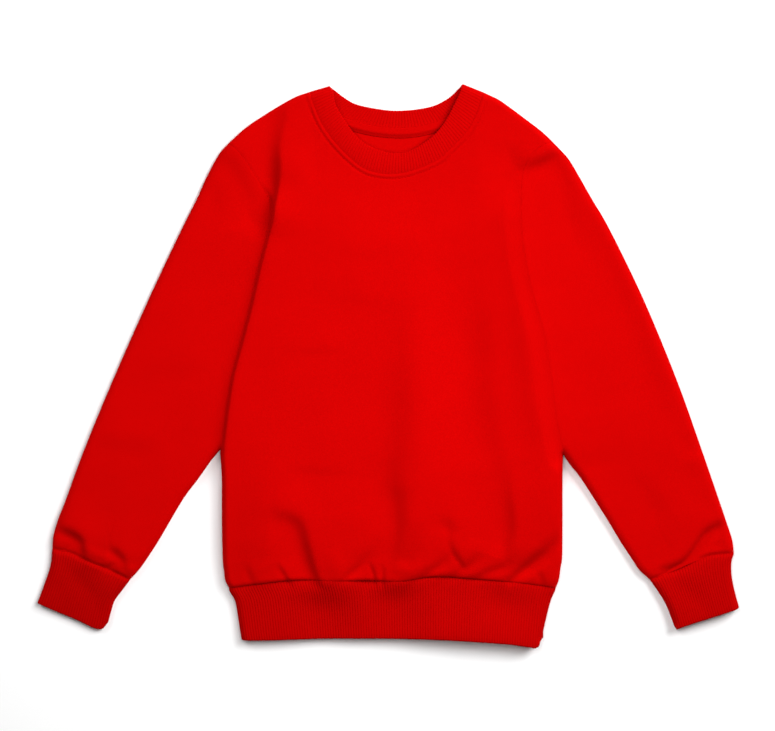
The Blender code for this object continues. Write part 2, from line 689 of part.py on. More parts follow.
def neck_tape():
    """The strip that covers the back neck's seam, lying on the back just below the rib."""
    us, vs = np.linspace(0, 1, TAPE_COLUMNS), np.array([0.0, 1.0])
    first, last = TAPE_SHARES
    upper = shifted(at_share(smooth_line(BACK_NECK), first + (last - first) * us), -2 * SEAM_GAP)
    strip = Strip(Edge(shifted(upper, -TAPE_WIDTH), us), Edge(upper, us), FLEECE + SEAM_GAP + TAPE)
    upper_face, lower_face = skin(strip, us, vs, 0.0), skin(strip, us, vs, TAPE)
    return make_wall("neck_tape", upper_face, lower_face, (us, vs), (us, vs), False)


def build():
    collection = bpy.data.collections.new("crewneck_sweatshirt")
    bpy.context.scene.collection.children.link(collection)

    front = Front(FRONT_STEPS, FRONT_NECK_STEPS, FRONT_NECK, SIDE_ROWS, 1)
    back = Back(BACK_STEPS, BACK_NECK_STEPS, BACK_NECK, BACK_SIDE_ROWS, -1)
    left_sleeve, left_cuff_seam = sleeve("left_sleeve", 0, LEFT_SLEEVE_OUTER, LEFT_SLEEVE_INNER,
                                         LEFT_CUFF_SEAM)
    right_sleeve, right_cuff_seam = sleeve("right_sleeve", 1, RIGHT_SLEEVE_OUTER, RIGHT_SLEEVE_INNER,
                                           RIGHT_CUFF_SEAM)
    fleece = [
        panel_piece("front_panel", front, np.delete(front.vs, ROWS_LEFT_OUT_INSIDE)),
        panel_piece("back_panel", back, back.vs),
        left_sleeve,
        right_sleeve,
        neck_tape(),
    ]
    for piece in fleece:
        add_piece(collection, piece, BODY_RED)
    ribs = [
        hem_band(),
        cuff_band("left_cuff", 0, left_cuff_seam, LEFT_CUFF_OUTER, LEFT_CUFF_INNER, LEFT_CUFF_END),
        cuff_band("right_cuff", 1, right_cuff_seam, RIGHT_CUFF_OUTER, RIGHT_CUFF_INNER,
                  RIGHT_CUFF_END),
        neckband(front, back),
    ]
    for piece in ribs:
        add_piece(collection, piece, RIB_RED)


build()
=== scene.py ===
# %% [markdown]
# # A crewneck sweatshirt, laid flat
#
# A sweatshirt is sewn from two knitted cloths. The front, the back and the sleeves are fleece: a plain
# knit outside and a brushed inside. The collar, the cuffs and the hem are a stretchy doubled rib.
# Each piece already exists as a plain solid, so this lesson gives every one its real surface. The
# solids fix where everything lies, so we load them first.

# %% Load the solids
import bmesh
import bpy
import numpy as np
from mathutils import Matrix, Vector


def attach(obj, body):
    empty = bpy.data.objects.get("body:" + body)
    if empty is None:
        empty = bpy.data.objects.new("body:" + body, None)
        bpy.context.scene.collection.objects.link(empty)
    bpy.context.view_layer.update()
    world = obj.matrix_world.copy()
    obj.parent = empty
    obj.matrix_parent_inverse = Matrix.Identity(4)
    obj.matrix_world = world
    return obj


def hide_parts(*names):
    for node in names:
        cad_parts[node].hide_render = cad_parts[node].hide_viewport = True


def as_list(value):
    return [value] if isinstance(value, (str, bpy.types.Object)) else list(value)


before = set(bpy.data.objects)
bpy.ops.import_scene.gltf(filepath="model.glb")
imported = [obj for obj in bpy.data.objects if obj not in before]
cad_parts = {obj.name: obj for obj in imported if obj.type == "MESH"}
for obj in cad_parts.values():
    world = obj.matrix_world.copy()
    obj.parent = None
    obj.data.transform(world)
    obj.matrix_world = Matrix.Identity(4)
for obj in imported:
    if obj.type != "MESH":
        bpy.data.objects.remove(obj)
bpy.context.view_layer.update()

MM = 0.001
print("solids:", sorted(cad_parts))

# %% [markdown]
# ## Sizes of the cloth
#
# All tables are in millimetres and turned into metres when a mesh is made. +X is the width of the
# sweatshirt as it lies, +Y runs from the hem to the collar, and +Z is up from the surface it lies on.
# A flattened sweatshirt has rolled edges, so each layer starts half way up its edge and rises inward.

# %% Thickness, heights and rolled edges
FLEECE = 2.0            # thickness of the brushed fleece
RIB = 2.6               # thickness of the doubled rib
TAPE = 1.0              # thickness of the tape inside the neck
SEAM_GAP = 0.06         # what two sewn edges leave between them

EDGE_LEVEL = 4.0        # where the upper layer meets the lower one
BACK_EDGE_LEVEL = 3.8
HEM_TOP = 8.8           # the bands' upper faces beside their seams
CUFF_TOP = 8.0
NECK_TOP = 9.3

BODY_ROLL = 6.0         # how wide the rolled edges are, seen from above
SLEEVE_ROLL = 7.0
RIB_ROLL = 7.0
BACK_ROLL = 5.0
# At the left armhole the body falls steeply onto the sleeve, at the right one softly: how wide the
# steep part is, how wide the soft part, and the steep part's share of the height
ARMHOLE_ROLLS = [(4.8, 9.0, 0.82), (17.0, 17.0, 0.5)]
SHOULDER_BLEND = 45.0   # over which the body rises from the armhole seam near the shoulder
BODY_ROLL_STARTS = 170.0    # below here the body's edge begins to stand over the sleeves
BODY_ROLL_WHOLE = 130.0     # and below here it stands over them in full
print("two layers of fleece are", 2 * FLEECE, "mm thick and lie", NECK_TOP, "mm high at the neck")

# %% [markdown]
# ## Outlines
#
# Each outline is a short table of places between two corners. A pattern cutter draws it the same way:
# a few measured points, joined by a smooth curve. Neighbours share a line, so their edges always meet.

# %% The body's outlines
LEFT_SIDE = [
    (-143, -200), (-146.4, -193.5), (-147.7, -184), (-148.8, -173), (-149.5, -139), (-149.6, -103),
    (-151, -76),
]
RIGHT_SIDE = [
    (151, -200), (153.8, -192.5), (155.3, -182), (156.8, -171), (157, -139), (157, -103), (157.5, -80.5),
]
LEFT_ARMHOLE = [
    (-151, -76), (-146.5, -40), (-141.5, -8.5), (-133, 23), (-125, 54.5), (-118, 86), (-110.5, 115),
    (-106, 133), (-107, 148), (-113.5, 161.5), (-124, 178), (-134, 192), (-143, 200.5),
]
RIGHT_ARMHOLE = [
    (157.5, -80.5), (150.5, -44.5), (146, -8.5), (140.5, 27.5), (131.5, 59), (125, 86),
    (120.5, 117.5), (119.5, 144.5), (120.5, 169), (125, 183), (134, 194.5), (147.5, 202),
]
LEFT_SHOULDER = [
    (-143, 200.5), (-128.5, 213.6), (-112.5, 224.6), (-95.5, 235), (-83, 241.8), (-71, 246),
]
RIGHT_SHOULDER = [
    (147.5, 202), (138, 210.8), (124.5, 221.2), (110, 232), (100, 239), (92.5, 242.7), (86.5, 245.5),
]
print("the body is", RIGHT_SIDE[0][0] - LEFT_SIDE[0][0], "mm wide at the hem seam")

# %% [markdown]
# The front of the neck is cut lower than the back, and both start from the same two corners. The
# collar's free edges stand inside them.

# %% The neck's outlines
FRONT_NECK = [
    (-71, 246), (-69.6, 241), (-66.8, 234), (-60, 218), (-50, 203), (-35, 187), (-20, 176), (-3.5, 172),
    (12, 172.5), (28, 177), (44, 184), (56.5, 195), (70, 209), (78.5, 223.5), (82.8, 235.5),
    (84.7, 240.7), (86.5, 245.5),
]
BACK_NECK = [
    (-71, 246), (-69.6, 241), (-62.5, 234), (-50.5, 228), (-34, 221.5), (-16, 216.5), (5.5, 214),
    (25, 215), (45, 220), (61, 227.5), (75.5, 234.5), (84.7, 240.7), (86.5, 245.5),
]
FRONT_COLLAR_EDGE = [
    (-52, 251.5), (-48.5, 244.5), (-47, 234.5), (-40.5, 223), (-31.5, 210), (-22.5, 201), (-9, 194),
    (7, 190.5), (20, 193), (33.5, 201), (44, 210), (52, 221), (59.5, 235.5), (65, 247), (66.5, 253.5),
]
BACK_COLLAR_EDGE = [
    (-52, 251.5), (-47, 247.4), (-38, 240.4), (-29, 235.4), (-14.5, 231.9), (4.5, 229.4),
    (24.5, 230.4), (41.5, 233.9), (54, 240.4), (62, 247.8), (66.5, 253.5),
]
print("the neck is", FRONT_NECK[-1][0] - FRONT_NECK[0][0], "mm wide and",
      round(FRONT_NECK[0][1] - min(y for x, y in FRONT_NECK)), "mm deep in front")

# %% [markdown]
# The sleeves lie spread out, not quite alike, as they do when a garment is put down by hand.

# %% The sleeves' outlines
LEFT_SLEEVE_OUTER = [
    (-143, 200.5), (-151.5, 191), (-162.5, 171), (-172.5, 149), (-186, 122), (-215.7, 59), (-247.5, -13),
    (-273.5, -76), (-290, -121), (-297, -139), (-301.2, -154), (-302, -165),
]
LEFT_SLEEVE_INNER = [
    (-151, -76), (-158.7, -85), (-171.5, -103), (-184.8, -121), (-206, -157), (-217.7, -175),
    (-224.2, -184), (-232.5, -193),
]
RIGHT_SLEEVE_OUTER = [
    (147.5, 202), (157, 192.2), (163.5, 184.5), (171.5, 171), (184, 149), (199.7, 122), (230.2, 59),
    (259.9, -13), (282.4, -76), (297.9, -121), (304, -139), (309.8, -157), (311.3, -169),
]
RIGHT_SLEEVE_INNER = [
    (157.5, -80.5), (164, -89.5), (174.5, -103), (197.5, -139), (208.3, -157), (220, -175), (226.2, -184),
    (236, -193),
]
print("sleeve tips at", LEFT_SLEEVE_OUTER[-1], "and", RIGHT_SLEEVE_OUTER[-1])

# %% [markdown]
# The cuffs and the hem band are narrower than the cloth that they gather, so their sides draw in from
# the seam before they run down to the free end.

# %% The bands' outlines
LEFT_CUFF_SEAM = [(-302, -165), (-285.5, -169), (-268, -177), (-251, -184), (-232.5, -193)]
RIGHT_CUFF_SEAM = [(311.3, -169), (290.5, -171), (274.5, -177), (258.5, -184), (236, -193)]
LEFT_CUFF_OUTER = [(-302, -165), (-303.5, -180), (-309, -197), (-315.5, -214.5)]
RIGHT_CUFF_OUTER = [(311.3, -169), (308.9, -177), (309.2, -190), (312, -204), (315.8, -218)]
LEFT_CUFF_INNER = [(-232.5, -193), (-239.3, -202), (-246, -211), (-249, -220), (-252.3, -232)]
RIGHT_CUFF_INNER = [(236, -193), (242.2, -202), (248, -211), (252.3, -220), (257, -232.5)]
LEFT_CUFF_END = [
    (-315.5, -214.5), (-299.5, -221.5), (-279, -230), (-266, -236.3), (-258, -237.5), (-252.3, -232),
]
RIGHT_CUFF_END = [
    (315.8, -218), (294.5, -225.2), (276.5, -230.8), (263, -235.3), (259, -236), (257, -232.5),
]
HEM_SEAM = [
    (-143, -200), (-112.5, -196), (-79, -193), (-34, -193.5), (11, -193.5), (42.5, -190),
    (83, -192.5), (119, -195.5), (151, -200),
]
HEM_LEFT = [(-143, -200), (-142.2, -203.5), (-138, -210.5), (-135.8, -220), (-133, -238), (-131.5, -247)]
HEM_RIGHT = [(151, -200), (149.8, -203.5), (146.3, -211.5), (142, -228), (138.3, -245)]
HEM_END = [
    (-131.5, -247), (-106, -247), (-43, -245.4), (38, -245.8), (101, -249.2), (125, -252.4), (133, -253),
    (138.3, -245),
]
print("the hem band is", round(HEM_END[-1][0] - HEM_END[0][0]), "mm wide at its free edge")

# %% [markdown]
# ## Curves through the tables
#
# A Catmull-Rom curve passes through every point of its table, which suits measured outlines. The
# helpers below walk along such a line and move it sideways, as a seam allowance is drawn.

# %% Lines through tables
LINE_STEPS = 12         # places between two points of a table


def smooth_line(points, steps=LINE_STEPS):
    """A smooth dense line through the points (Catmull-Rom), in any number of coordinates."""
    points = np.array(points, float)
    padded = np.vstack([2 * points[0] - points[1], points, 2 * points[-1] - points[-2]])
    t = np.linspace(0, 1, steps, endpoint=False)[:, None]
    runs = []
    for before, start, end, after in zip(padded, padded[1:], padded[2:], padded[3:]):
        bend = (2 * before - 5 * start + 4 * end - after) * t ** 2
        twist = (3 * start - before - 3 * end + after) * t ** 3
        runs.append(0.5 * (2 * start + (end - before) * t + bend + twist))
    return np.vstack(runs + [points[-1:]])


def lengths_along(line):
    return np.concatenate([[0], np.cumsum(np.linalg.norm(np.diff(line, axis=0), axis=1))])


def at_share(line, share):
    """Places on a line at shares of its length."""
    lengths = lengths_along(line)
    at = np.asarray(share) * lengths[-1]
    return np.stack([np.interp(at, lengths, line[:, axis]) for axis in range(line.shape[1])], axis=-1)


def shifted(line, distance):
    """The line moved to its left, seen along it."""
    runs = np.diff(line, axis=0)
    runs /= np.linalg.norm(runs, axis=1)[:, None]
    sides = np.stack([-runs[:, 1], runs[:, 0]], axis=1)
    mean = np.vstack([sides[:1], sides]) + np.vstack([sides, sides[-1:]])
    mean *= (2 / np.sum(mean * mean, axis=1))[:, None]
    return line + mean * distance


print("a smooth left armhole is", round(lengths_along(smooth_line(LEFT_ARMHOLE))[-1]), "mm long")

# %% [markdown]
# Nearly every height below depends on how far a place lies from a seam, an edge or a fold. For each
# place we project it onto every run of the line and keep the nearest.

# %% How far a place lies from a line
def nearest_on(places, line):
    """Distance to a line, how far to its left (1) or right (-1), and how far along, counted in points."""
    starts, runs = line[:-1, :2], np.diff(line[:, :2], axis=0)
    squares = np.sum(runs * runs, axis=1)
    distance, side, along = (np.empty(places.shape[:2]) for _ in range(3))
    for row, row_places in enumerate(places):
        offsets = row_places[:, None] - starts
        share = np.clip(np.sum(offsets * runs, -1) / squares, 0, 1)
        gaps = offsets - share[..., None] * runs
        lengths = np.sum(gaps * gaps, -1)
        nearest = np.argmin(lengths, axis=1)
        at = np.arange(len(nearest)), nearest
        distance[row] = np.sqrt(lengths[at])
        turn = runs[nearest, 0] * offsets[at][:, 1] - runs[nearest, 1] * offsets[at][:, 0]
        side[row] = turn / np.maximum(distance[row] * np.sqrt(squares[nearest]), 1e-9)
        along[row] = nearest + share[at]
    return distance, side, along


def distance_to(places, line):
    return nearest_on(places, line)[0]


SIDES = [smooth_line(LEFT_SIDE), smooth_line(RIGHT_SIDE)]
SHOULDERS = [smooth_line(LEFT_SHOULDER), smooth_line(RIGHT_SHOULDER)]
ARMHOLES = [smooth_line(LEFT_ARMHOLE), smooth_line(RIGHT_ARMHOLE)]
HEM = smooth_line(HEM_SEAM)
print("the hem seam passes", round(float(distance_to(np.zeros((1, 1, 2)), HEM)[0, 0])), "mm below the middle")

# %% [markdown]
# Cloth never starts or stops bending at once. Three curves do all the shaping: a quarter ellipse for a
# rolled edge, an S for a soft change of level, and a bell for a narrow ridge or dip.

# %% Soft changes
def sorted_shares(*runs):
    """All the shares of several runs in order, each once."""
    return np.unique(np.round(np.concatenate(runs), 6))


def roll(distance, width):
    """How far a rolled edge has risen at a distance from the edge: a quarter of an ellipse, 0 to 1."""
    share = np.clip(distance / width, 0, 1)
    return np.sqrt(1 - (1 - share) ** 2)


def ease(share):
    """A soft change from 0 to 1."""
    share = np.clip(share, 0, 1)
    return share * share * (3 - 2 * share)


def bump(distance, centre, width):
    """A bell of height 1."""
    return np.exp(-((distance - centre) / width) ** 2)


def read_table(table, at):
    """Values between those of a table of (place, value)."""
    places, values = smooth_line(table).T
    return np.interp(at, places, values)


print("a rolled edge has risen to", round(float(roll(1.0, BODY_ROLL)), 2), "of its height after 1 mm")

# %% [markdown]
# ## Folds
#
# Fleece is thick, so it bends in soft troughs and never in sharp pleats. A fold here is a line with a
# depth and a half width at each of its places. Its section is a mix of two: a trough, whose bell curve
# joins the flat cloth smoothly, and a step, where one side stands above the other. Lean makes it steeper
# on one side. A negative depth is a ridge. Where the loose body is gathered into the tight hem, short
# troughs run out of the seam, each with its own length, depth and direction.

# %% The front's folds: lean, step, then (x, y, depth, half width) along each line
FRONT_FOLDS = [
    # from the left shoulder down into the body's edge
    (-0.5, 1, [(-90.9, 233.6, 0.6, 6), (-93.6, 221, 2.1, 6), (-96.3, 210.2, 2.5, 5.8),
               (-98.5, 194, 3, 5.2), (-97.8, 177.8, 4.2, 4.3), (-98.8, 163.3, 4.6, 3.6),
               (-100.6, 149.8, 4.7, 3.2), (-103.4, 136.3, 4, 3.1), (-106.2, 123.8, 1.8, 3),
               (-108.6, 111.2, 0, 3)]),
    # the long trough down the middle, and the soft ridge and the trough beside it
    (0, 0.9, [(14.4, 50, 0, 14), (11.7, 5, 1.1, 14), (10.8, -31.1, 2.1, 14), (8.1, -67, 2.6, 12),
              (5.9, -103, 4, 11), (9.9, -121, 4.3, 9.5), (10.8, -139.1, 4.2, 8), (7.7, -161.6, 2.8, 7),
              (4.5, -176.8, 1.8, 6), (0.9, -193.1, 1, 5)]),
    (0, 0, [(27, 125, 0, 18), (26, 80, -1.2, 18), (26, 20, -1.8, 18), (27, -40, -1.6, 17),
            (31, -95, -0.9, 15), (33, -125, 0, 14)]),
    (0, 0, [(62, 100, 0, 22), (64, 60, 1.4, 22), (66, 0, 2.6, 24), (67, -50, 2.6, 24),
            (68, -100, 1.8, 22), (68, -135, 0, 18)]),
    # down the right of the chest, along the right edge, and the swelling of both flanks
    (-0.5, 1, [(100.8, 171.5, 0, 14), (107.1, 135.5, 1.1, 14), (109.8, 104, 2, 14), (114.3, 59, 2.5, 13),
               (117.9, 22.9, 2.9, 12), (122.4, -13.1, 2.4, 12), (127.8, -49.1, 1.7, 12),
               (133.2, -80.5, 0.4, 12)]),
    (-0.3, 0.8, [(100.8, -80.5, 0.4, 8), (103.5, -94, 1.2, 7.5), (106.2, -107.5, 1.8, 6.5),
                 (108, -121, 2.4, 6), (109.8, -134.6, 3.2, 6), (109.8, -148.1, 3.6, 6),
                 (106.7, -162.2, 2.8, 6), (102.6, -174.1, 0, 6)]),
    (-0.2, 1, [(83, 120, 0, 14), (86, 68, 1.4, 14), (87, 27, 2.8, 13), (88, -13, 2.4, 13),
               (93, -49, 2, 12), (98, -76, 1.2, 10), (101, -95, 0, 9)]),
    (0, 0, [(140, 20, 0, 22), (144, -30, -1, 24), (146, -80, -2.2, 27), (146, -120, -2.8, 27),
            (142, -160, -1.4, 22)]),
    (0, 0, [(-104, -40, 0, 22), (-106, -90, -2, 22), (-108, -145, -2, 22), (-110, -185, -1, 20)]),
    # gathers that run out of the hem seam, from left to right
    (-0.2, 0.4, [(-99.9, -175.1, 0, 2.8), (-96.3, -183.2, 1.4, 2.9), (-91.8, -190.3, 1.7, 2.9),
                 (-87.3, -197.6, 1.1, 2.8)]),
    (-0.15, 0.9, [(-106, -132.6, 0.4, 7), (-97, -133.8, 1.8, 7), (-87, -136.4, 2.7, 6.8),
                  (-79.6, -141.6, 3, 6.2), (-75.8, -150, 3.3, 5.4), (-73, -161, 3.6, 4.7),
                  (-70.1, -172, 3.5, 4.2), (-67, -182, 3.2, 3.8), (-63.9, -190, 2.5, 3.4),
                  (-60.3, -197.6, 1.6, 3.2)]),
    (0, 0, [(-51.3, -162.5, -0.3, 10), (-46.8, -176.8, -1.4, 10), (-43.2, -187.7, -1.1, 9)]),
    (0, 0, [(-6.2, -152.2, 0, 5.4), (-13, -165, 1.2, 5.4), (-19.8, -175.5, 2.1, 5.2),
            (-27.9, -183.6, 2.2, 4.9), (-36.9, -190.3, 1.6, 4.6), (-44.2, -195.8, 0.7, 4.2)]),
    (0, 0.3, [(-18, -175.1, 0, 2.4), (-14.8, -182.2, 1.4, 2.4), (-12.6, -190.3, 1.7, 2.4),
              (-11.7, -197.6, 1.2, 2.4)]),
    (0, 0.3, [(-5.9, -176.8, 0, 2.4), (-5, -184.1, 1.3, 2.4), (-5, -191.2, 1.7, 2.4),
              (-5, -198.5, 1.2, 2.4)]),
    (0, 0, [(3.6, -178.7, -0.2, 6), (18, -183.2, -1.1, 6), (32.4, -176.8, -0.2, 6)]),
    (0, 0.7, [(30.6, -140.8, 0, 6), (27, -157.1, 1.2, 6), (20.7, -172.3, 1.8, 5.5), (13.5, -185, 1.5, 5),
              (8.1, -195.8, 1, 5)]),
    (0, -0.1, [(58.6, -166.8, 0, 5), (50.4, -176.4, 1.2, 5), (41.4, -183.2, 1.9, 4.8),
               (31.5, -189.3, 1.5, 4.4), (24.1, -195.8, 0.6, 4)]),
    (0, 0.4, [(51.3, -131.8, 0, 5.5), (53.6, -146.2, 1.1, 5), (54.9, -159.8, 1.4, 4),
              (59, -168.8, 2, 3.4), (63.9, -176.8, 1.9, 3.4), (68.4, -184.1, 0.3, 3.2)]),
    (0, 0.2, [(41.4, -140.8, 0, 7), (53.1, -145.3, 1, 6.5), (66.6, -152.6, 0, 6)]),
    (0, -0.1, [(93.8, -160.3, 0, 6), (82, -171.8, 1, 5.8), (71.6, -180.5, 1.7, 5.2),
               (61.2, -188.1, 1.4, 4.8), (53.9, -194, 0.6, 4.4)]),
    (0, -0.1, [(112.7, -177, 0, 4.8), (103.5, -181.4, 1.2, 4.8), (93.5, -185, 1.6, 4.6),
               (83.5, -189, 1.2, 4.4), (75.2, -194, 0.4, 4)]),
    (0, -0.2, [(155.7, -153.2, 1, 7.5), (144.1, -165.4, 2.8, 7), (135.4, -173.2, 3.9, 6.2),
               (127.8, -180, 4.1, 5.8), (118.8, -186.8, 3, 5.2), (110.7, -193.1, 1.4, 4.6)]),
    (0, 0.4, [(-128.2, -175.1, 0, 4), (-126, -185, 1.2, 4), (-122.4, -193.1, 1.2, 4)]),
    (0, 0.4, [(132.8, -183.6, 0, 3.2), (136.8, -189.9, 1.3, 3.2), (138.6, -196.2, 1.1, 3.2)]),
    # faint creases across the chest and the belly
    (0, 0.7, [(-92.7, 8.6, 0, 4), (-74.7, 11.2, 0.5, 4), (-54, 12.2, 0.5, 4), (-37.8, 14.8, 0, 3.5)]),
    (0, 0.7, [(-94.5, -93.2, 0, 4), (-72, -95, 0.5, 4), (-43.2, -96.8, 0.4, 4), (-23.4, -98.5, 0, 4)]),
    (0, 0.7, [(-32.4, 87.8, 0, 7), (-11.7, 96.8, 0.5, 7), (12.6, 102.2, 0.5, 7), (33.3, 102.2, 0, 6)]),
    (0, 0.7, [(-60.3, 55.4, 0, 6), (-37.8, 58.1, 0.5, 6), (-14.4, 56.2, 0.5, 6), (8.1, 59.9, 0, 5)]),
]
print(len(FRONT_FOLDS), "folds in the front")

# %% [markdown]
# A sleeve drags a little from the shoulder, and bunches up where the tight cuff stops it.

# %% The sleeves' folds
SLEEVE_FOLDS = [
    # from the left shoulder towards the body's edge
    (0.2, 0.8, [(-158.4, 194, 0.5, 9), (-147.6, 186.8, 1.9, 9.5), (-136.8, 176.8, 2.5, 10),
                (-127.8, 161.6, 2.5, 10), (-119.7, 146.2, 2.7, 9), (-113.9, 138.2, 3.1, 7.5),
                (-110.7, 129.2, 1.9, 6.5), (-111.6, 116.5, 0, 6)]),
    (0, 0.6, [(-160.2, 168.8, 0, 7), (-155.7, 152.6, 1, 8), (-153, 129.2, 0, 8)]),
    # across the left sleeve
    (0, 0.8, [(-250.2, -17.6, 0, 10), (-214.2, -5.9, 0.9, 11), (-178.2, -2.2, 0.8, 11),
              (-155.7, -5.9, 0, 10)]),
    (0, 0.8, [(-271.8, -63.5, 0, 8), (-250.2, -69.8, 0.8, 8), (-223.2, -73.4, 0.9, 9),
              (-200.7, -72.5, 0, 8)]),
    # above the left cuff
    (-0.1, 0.7, [(-297.5, -146, 0.8, 4.6), (-291, -149, 3.2, 4.6), (-282.7, -152.6, 4.2, 4.4),
                 (-276.4, -158, 4, 4.2), (-274.2, -165.6, 3, 4), (-274, -175, 1.2, 4)]),
    (-0.1, 0.6, [(-253, -165.5, 0.4, 4.5), (-248, -166.8, 2, 4.5), (-243.2, -169.6, 2.8, 4.4),
                 (-238.8, -174.8, 2.6, 4.2), (-236.2, -181, 1.2, 4)]),
    (0, 0.5, [(-259, -180.4, 0.2, 3), (-251, -180.8, 1.6, 3.2), (-243, -178.4, 0.4, 3)]),
    # the right shoulder, then down and across the right sleeve
    (0.2, 0.8, [(115, 173.6, 0, 4), (124, 176.8, 1.6, 4), (132, 180.2, 3.2, 4.1),
                (141.3, 184.4, 4.4, 4.3), (148.5, 188.6, 4, 4.6), (158.5, 194.6, 1.6, 5.4)]),
    (0, 0.9, [(165.6, 174.2, 0, 9), (188.1, 126.5, 1.3, 10), (206.1, 86, 1.6, 10), (223.2, 41, 1.6, 10),
              (240.3, -5.9, 1.3, 9), (252, -40.1, 0.7, 9), (262.8, -71.5, 0, 9)]),
    (0, 0.5, [(152, 187, 0.5, 6), (158, 167, 1.8, 9), (162, 140, 2, 10), (171, 114, 1.3, 10),
              (188, 82, 0, 10)]),
    (0, 0.5, [(113, 200, 0, 7), (111, 188, 1.3, 7), (112, 174, 0, 7)]),
    (0, 0.7, [(287.1, -77, 0.5, 4.5), (273.6, -78.8, 1.1, 4.5), (261.9, -84.2, 0, 4)]),
    (0, 0.8, [(212.4, -88.7, 0, 8), (231.3, -109.4, 0.9, 8.5), (244.8, -130.1, 1, 8.5),
              (252, -152.6, 0, 8)]),
    # above the right cuff
    (0, -0.3, [(303, -140, 0.6, 5), (297.3, -145.6, 2.4, 5.2), (287.1, -153.7, 4, 5.4),
               (281.1, -161.8, 4.2, 5.2), (275, -170, 4, 5), (267.8, -177.6, 3.4, 4.6),
               (258.8, -182.6, 2.8, 4.4), (247.6, -184.6, 1, 4)]),
    (0, 0.4, [(303, -161, 0.2, 3), (295, -162.5, 1.2, 3.2), (286, -166, 0.3, 3)]),
]
print(len(SLEEVE_FOLDS), "folds in the sleeves")

# %% [markdown]
# The ribs take up the ends of the deepest gathers, so they dip below them. The layer that rests on the
# surface is pressed flat and keeps only a few shallow hollows.

# %% The folds of the ribs and of the underside
HEM_FOLDS = [
    (0.2, 1, [(-92.4, -204.2, 0, 11), (-76, -207.1, 1.6, 12), (-62.4, -208.7, 3.6, 13),
              (-47, -210.2, 3.6, 13), (-33.4, -211.8, 1.6, 12), (-20.6, -213.7, 0, 11)]),
    (0.2, 1, [(-20, -200.2, 0, 9), (-7.4, -203, 2.2, 10), (7.2, -204.8, 3.4, 11), (21.8, -203.5, 2, 10),
              (37.2, -200.3, 0, 9)]),
    (0, 1, [(84, -203, 0, 9), (102, -206, 1.2, 10), (120, -208, 1, 10), (136, -210, 0, 9)]),
    (0, 0.7, [(-28.8, -221.8, 0, 12), (15.3, -227.2, 0.7, 10), (60.3, -223.7, 0.6, 10),
              (100.8, -230, 0, 10)]),
]
CUFF_FOLDS = [
    (0, 0.3, [(-290, -176, 0.8, 8), (-278, -192, 1.1, 8), (-262, -212, 0.8, 8), (-258, -232, 0.3, 8)]),
    (0, 0.3, [(258, -194, 0.8, 8), (272, -204, 1.0, 9), (284, -218, 0.5, 8)]),
]
UNDER_FOLDS = [
    (0, 0, [(-70, -196, 0.8, 4), (-76, -176, 0.7, 5), (-92, -150, 0.1, 6)]),
    (0, 0, [(-20, -193, 0.9, 4), (-14, -170, 0.7, 5), (-18, -138, 0.1, 6)]),
    (0, 0, [(38, -191, 0.8, 4), (46, -168, 0.6, 5), (40, -132, 0.1, 7)]),
    (0, 0, [(92, -193, 0.9, 4), (84, -172, 0.6, 5), (90, -150, 0.1, 6)]),
    (0, 0, [(-60, 90, 0, 12), (-20, 20, 0.6, 13), (10, -60, 0.6, 13), (12, -120, 0, 12)]),
    (0, 0, [(-200, 30, 0, 9), (-215, -20, 0.6, 9), (-240, -80, 0.6, 8), (-262, -130, 0, 7)]),
    (0, 0, [(188, 60, 0, 9), (208, 0, 0.6, 9), (236, -70, 0.6, 8), (262, -130, 0, 7)]),
]
print(len(HEM_FOLDS) + len(CUFF_FOLDS), "folds in the ribs,", len(UNDER_FOLDS), "in the underside")

# %% [markdown]
# A fold lowers each place by its section, read at the place's distance from the fold's line. Between
# the folds no cloth is quite flat either, so a few long faint waves run through all of it.

# %% How deep the folds and the waves are
STEP_REACH = 14.0       # how far from a stepped fold its two sides come back to one level,
STEP_REACH_SHARE = 2.0  # and how much farther that is for a wide fold
FOLD_STEPS = 5          # places between two points of a fold


def fold_depth(places, folds):
    """How far the folds lower the cloth at each place."""
    total = np.zeros(places.shape[:2])
    for lean, step, stations in folds:
        line = smooth_line(stations, FOLD_STEPS)
        distance, side, along = nearest_on(places, line)
        points = np.arange(len(line))
        depth, width = np.interp(along, points, line[:, 2]), np.interp(along, points, line[:, 3])
        across = distance / (width * (1 + lean * side))
        reach = STEP_REACH + STEP_REACH_SHARE * width
        terrace = -side * (1 + lean * side) * np.tanh(across) * np.exp(-(distance / reach) ** 2)
        total += depth * ((1 - step) * np.exp(-across ** 2) + step * terrace)
    return total


# length, direction in degrees and height of each wave
SWELLS = [(95, 20, 0.16), (70, 75, 0.12), (52, 130, 0.08), (38, 5, 0.05), (27, 100, 0.04)]
SWELL_SHIFT = 1.7       # how far each wave starts after the one before


def swell(places):
    """A faint unevenness, the same each time."""
    total = np.zeros(places.shape[:2])
    for number, (length, angle, height) in enumerate(SWELLS):
        across = places[..., 0] * np.cos(np.radians(angle)) + places[..., 1] * np.sin(np.radians(angle))
        total += height * np.sin(2 * np.pi * across / length + SWELL_SHIFT * number)
    return total


print("the waves add up to", round(sum(height for _, _, height in SWELLS), 2), "mm at most")

# %% [markdown]
# ## From a grid of points to a wall of cloth
#
# Cloth has two faces. We compute a fine grid for the outer face, then step inwards along its normals
# by the cloth's thickness for the inner face. At a seam the step is made level with the seam, so that
# two sewn walls meet edge to edge.

# %% The direction of the cloth's thickness
def unit(vectors):
    return vectors / np.maximum(np.linalg.norm(vectors, axis=-1), 1e-12)[..., None]


def grid_slopes(points, ring):
    """The directions across and along a grid of points."""
    if ring:
        around = np.concatenate([points[:, -1:], points, points[:, :1]], axis=1)
        return around[:, 2:] - around[:, :-2], np.gradient(points, axis=0)
    return np.gradient(points, axis=1), np.gradient(points, axis=0)


